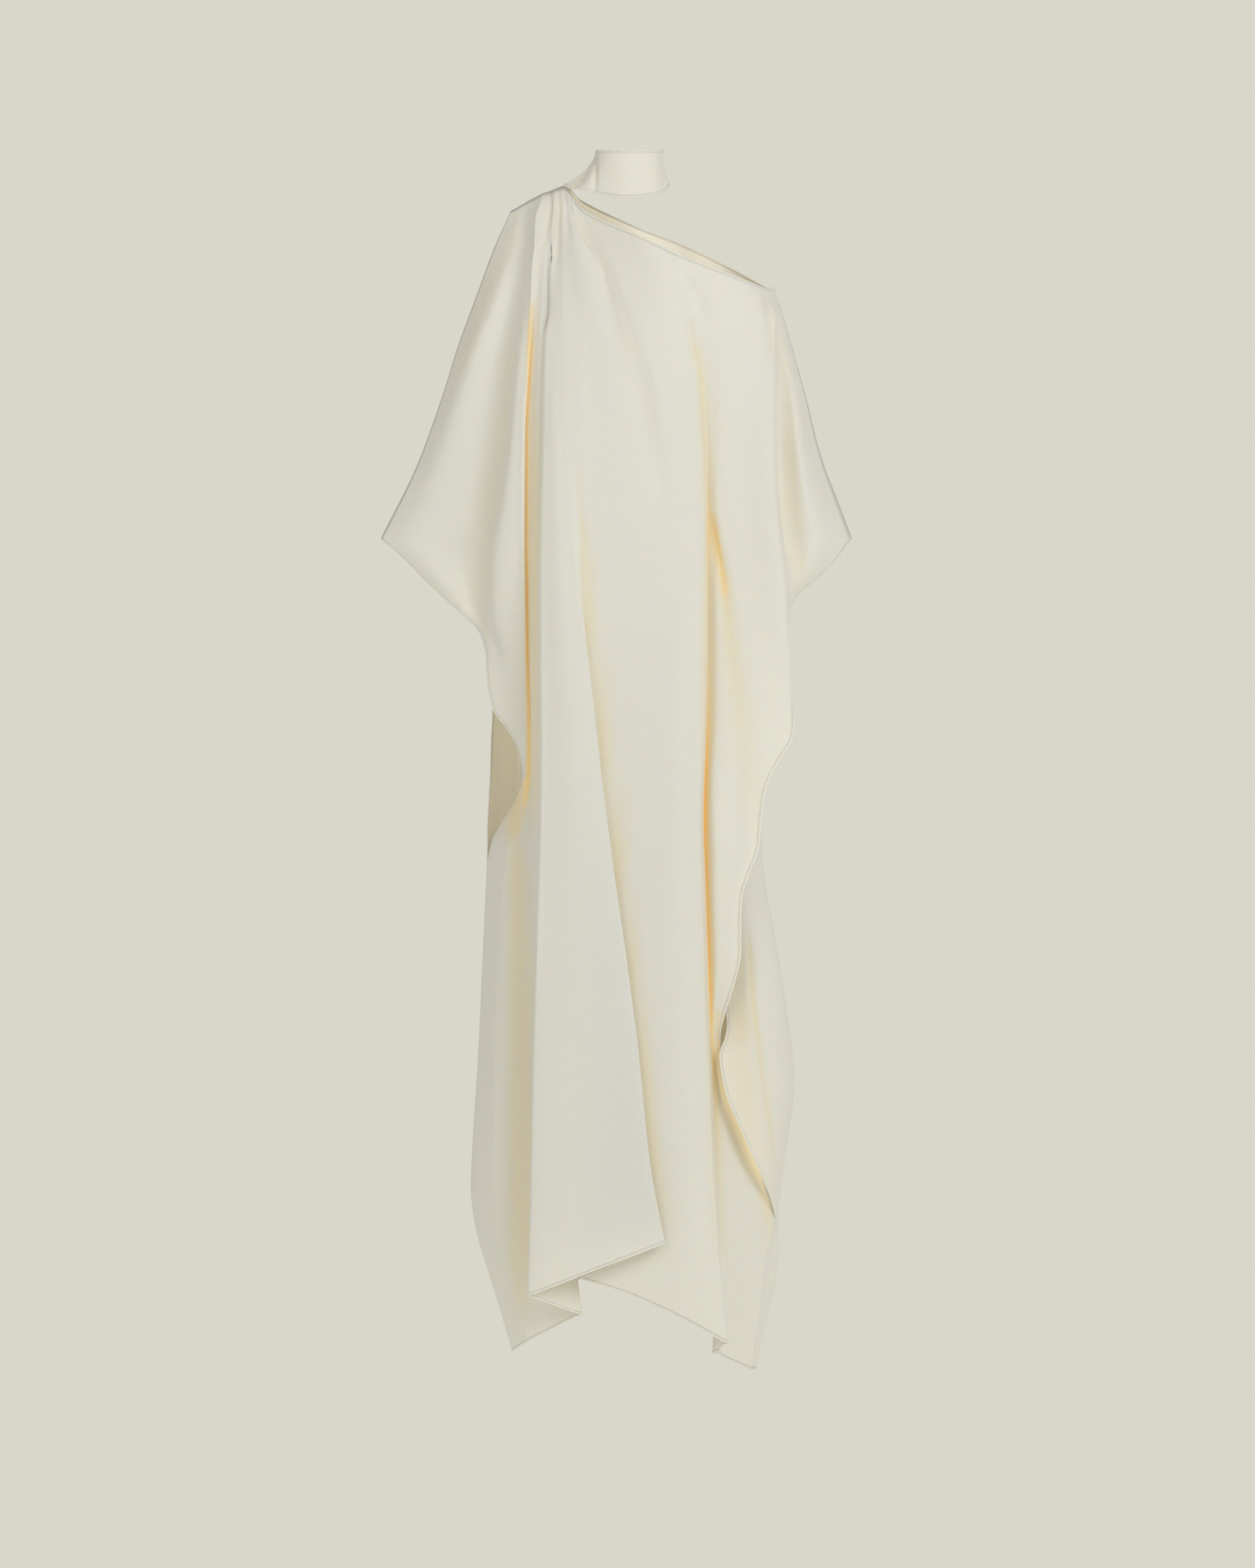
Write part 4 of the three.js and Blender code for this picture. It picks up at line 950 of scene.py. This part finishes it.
crepe = woven_crepe()
thread = spun_thread()
hem_nodes = hem_tree(crepe, thread)
height_of_level = np.interp(ROWS, [1, 2], [YOKE_Z, SKIRT_Z])
ARM_ROWS = np.flatnonzero(height_of_level >= TIP_Z)
LEFT_FREE_ROWS = np.flatnonzero((height_of_level <= TIP_Z) & (height_of_level >= SLIT_Z))
LEFT_SIDE_ROWS = np.flatnonzero((height_of_level <= SLIT_Z))
RIGHT_FREE_ROWS = np.flatnonzero((height_of_level <= TIP_Z) & (ROWS <= 2))
RIGHT_SIDE_ROWS = np.flatnonzero(ROWS >= 2)


def sewn_panel(grid, facing, side, left, right, shoulder):
    """Closes a panel's seams. side is -1 for the front and 1 for the back."""
    grid[0, shoulder, 1] = 0
    back = np.array([0.0, side, 0.0])
    left_way = np.array([-1.0, 0, 0])
    set_seam(grid, facing, [(0, c) for c in shoulder], back, SHOULDER_WAY)
    set_seam(grid, facing, [(r, left) for r in ARM_ROWS[1:]], back, left_way)
    set_seam(grid, facing, [(r, right) for r in ARM_ROWS], back, -left_way)
    set_seam(grid, facing, [(r, left) for r in LEFT_SIDE_ROWS], back, left_way)
    set_seam(grid, facing, [(r, right) for r in RIGHT_SIDE_ROWS], ROUND_CORNER * side, CORNER_WAY)


def panel_hems(grid, facing, left, right, shoulder):
    into_left = 1 if left == 0 else left - 1
    into_right = 1 if right == 0 else right - 1
    every = np.arange(grid.shape[1])
    open_top = np.setdiff1d(every, shoulder[:-1])
    return [
        edge_path(grid, facing, LEFT_FREE_ROWS, left, LEFT_FREE_ROWS, into_left),
        edge_path(grid, facing, RIGHT_FREE_ROWS, right, RIGHT_FREE_ROWS, into_right),
        edge_path(grid, facing, 0, open_top, 1, open_top),
        edge_path(grid, facing, -1, every, -2, every),
    ]


def front_panel():
    grid, starts = cloth_grid(front_lines())
    grid, glow = press(grid, facings(grid), FRONT_CREASES, starts)
    painted_backlight = press(grid, facings(grid), FRONT_PAINTED_BACKLIGHT, starts)[1]
    facing = facings(grid)
    last = grid.shape[1] - 1
    shoulder = np.flatnonzero(grid[0, :, 0] <= TUCK["x"][0] + SHOULDER_SLACK)
    sewn_panel(grid, facing, -1, 0, last, shoulder)
    cloth = finished("front_cloth", shell("front_cloth", grid, facing, glow, (painted_backlight, 0)), [crepe])
    return cloth, hem("front_hem", panel_hems(grid, facing, 0, last, shoulder), hem_nodes)


def back_panel():
    grid, starts = cloth_grid(back_lines())
    grid, glow = press(grid, -facings(grid), BACK_CREASES, starts)
    painted_backlight = press(grid, -facings(grid), BACK_PAINTED_BACKLIGHT, starts)[1]
    grid, glow, painted_backlight = grid[:, ::-1].copy(), glow[:, ::-1], painted_backlight[:, ::-1]
    facing = facings(grid)
    last = grid.shape[1] - 1
    shoulder = np.flatnonzero(grid[0, :, 0] <= HOLLOW_BACK_LEFT["x"][0] + SHOULDER_SLACK)[::-1]
    sewn_panel(grid, facing, 1, last, 0, shoulder)
    cloth = finished("back_cloth", shell("back_cloth", grid, facing, glow, (0, painted_backlight)), [crepe])
    return cloth, hem("back_hem", panel_hems(grid, facing, last, 0, shoulder), hem_nodes)


COLLAR_ROWS = 44
COLLAR_COLUMNS = 240


def neck_collar():
    share = np.linspace(0, 1, COLLAR_ROWS)[:, None]
    turn = spread(0, 2 * math.pi, COLLAR_COLUMNS)[None, :]
    from_shoulder = np.angle(np.exp(1j * (turn - math.pi)))
    tongue = np.exp(-(from_shoulder / TONGUE_WIDTH) ** 2)
    foot = COLLAR_FOOT["radius"] + TONGUE_REACH * tongue
    radius = COLLAR_TOP["radius"] + (foot - COLLAR_TOP["radius"]) * share**2

    def rim(sizes):
        end = np.where(np.sin(turn) < 0, sizes["front"], sizes["back"])
        return sizes["side"] + (end - sizes["side"]) * np.abs(np.sin(turn))

    z = rim(COLLAR_TOP) + (rim(COLLAR_FOOT) - rim(COLLAR_TOP)) * share
    grid = np.stack([COLLAR_X + radius * np.cos(turn), radius * np.sin(turn), z], axis=-1)
    front_half = (np.sin(turn) < 0) * np.ones_like(z)
    starts = {"start": 0, "end": COLLAR_COLUMNS}
    grid, glow = press(grid, facings(grid, closed=True), COLLAR_CREASES, starts, front_half)
    facing = facings(grid, closed=True)
    mesh = shell("collar_cloth", grid, facing, glow, closed=True)
    ring = np.append(np.arange(COLLAR_COLUMNS), 0)
    paths = [edge_path(grid, facing, row, ring, row + into, ring) for row, into in ((0, 1), (-1, -1))]
    return finished("collar_cloth", mesh, [crepe]), hem("collar_hem", paths, hem_nodes)


front, front_hem = front_panel()
back, back_hem = back_panel()
collar, collar_hem = neck_collar()

# Studio: a seamless pale sweep. It glows and takes no light, so that its tone is even behind the cloth.
UNLIT = "#000000"
BACKDROP = "#D9D7CA"
FLOOR_Z = -1600
SWEEP_BACK = 8000
SWEEP_RADIUS = 900
SWEEP_FRONT = -8000
SWEEP_HALF = 8000
SWEEP_TOP = 3600
SWEEP_STEPS = 17


def sweep():
    turn = np.linspace(0, math.pi / 2, SWEEP_STEPS)
    y = SWEEP_BACK - SWEEP_RADIUS + SWEEP_RADIUS * np.sin(turn)
    z = FLOOR_Z + SWEEP_RADIUS * (1 - np.cos(turn))
    bend = np.stack([y, z], axis=-1)
    profile = np.concatenate([[(SWEEP_FRONT, FLOOR_Z)], bend, [(SWEEP_BACK, SWEEP_TOP)]])
    points = [(x * M, y * M, z * M) for x in (-SWEEP_HALF, SWEEP_HALF) for y, z in profile]
    count = len(profile)
    faces = [(i, count + i, count + i + 1, i + 1) for i in range(count - 1)]
    mesh = bpy.data.meshes.new("sweep")
    mesh.from_pydata(points, [], faces)
    mesh.shade_smooth()
    material, tree, shader = new_material("painted_backdrop")
    set_inputs(tree, shader, {
        "Base Color": linear(UNLIT), "Roughness": 1, "Specular IOR Level": 0,
        "Emission Color": linear(BACKDROP), "Emission Strength": 1,
    })
    return finished("sweep", mesh, [material])


floor = sweep()


# Light: two broad softboxes, the stronger on the right, and a pale room round them
LIT_POINT = (60, 0, -650)
SOFTBOX_SIZE = (1700, 1800)
SOFTBOX_WHITE = "#FFFDF8"
ROOM = "#F6F1E5"
ROOM_STRENGTH = 0.44


def softbox(name, place, watts):
    """A lamp that faces the lit point."""
    light = bpy.data.lights.new(name, "AREA")
    light.shape = "RECTANGLE"
    light.size, light.size_y = SOFTBOX_SIZE[0] * M, SOFTBOX_SIZE[1] * M
    light.energy = watts
    light.color = linear(SOFTBOX_WHITE)[:3]
    thing = bpy.data.objects.new(name, light)
    bpy.context.scene.collection.objects.link(thing)
    way = np.array(LIT_POINT, float) - np.array(place, float)
    thing.location = [v * M for v in place]
    across = math.atan2(way[0], -way[1])
    drop = math.atan2(math.hypot(way[0], way[1]), -way[2])
    thing.rotation_euler = (drop, 0, math.pi + across)


softbox("key_right", place=(2050, -3500, 950), watts=58)
softbox("key_left", place=(-1700, -3600, 800), watts=19)

world = bpy.data.worlds.new("studio")
bpy.context.scene.world = world
world.use_nodes = True
sky = world.node_tree.nodes["Background"]
sky.inputs["Color"].default_value = linear(ROOM)
sky.inputs["Strength"].default_value = ROOM_STRENGTH

# Camera: level, at the height of the middle of the picture, and as far off as the photograph's may be
lens = bpy.data.cameras.new("camera")
lens.sensor_fit = "VERTICAL"
lens.angle = 2 * math.atan(PHOTO_HEIGHT * PHOTO_SCALE / 2 / -EYE[1])
camera = bpy.data.objects.new("camera", lens)
camera.location = EYE * M
camera.rotation_euler = (math.pi / 2, 0, 0)
bpy.context.scene.collection.objects.link(camera)
bpy.context.scene.camera = camera
bpy.context.scene.view_settings.view_transform = "Standard"
# Light finds its way into the deep folds of so pale a cloth over many bounces
DIFFUSE_BOUNCES = 12
ALL_BOUNCES = 16
bpy.context.scene.cycles.diffuse_bounces = DIFFUSE_BOUNCES
bpy.context.scene.cycles.max_bounces = ALL_BOUNCES

for piece, hem_piece, node in ((front, front_hem, "front_panel"), (back, back_hem, "back_panel"),
                               (collar, collar_hem, "neck_collar")):
    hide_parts(node)
    for part in (piece, hem_piece):
        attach(part, "root")
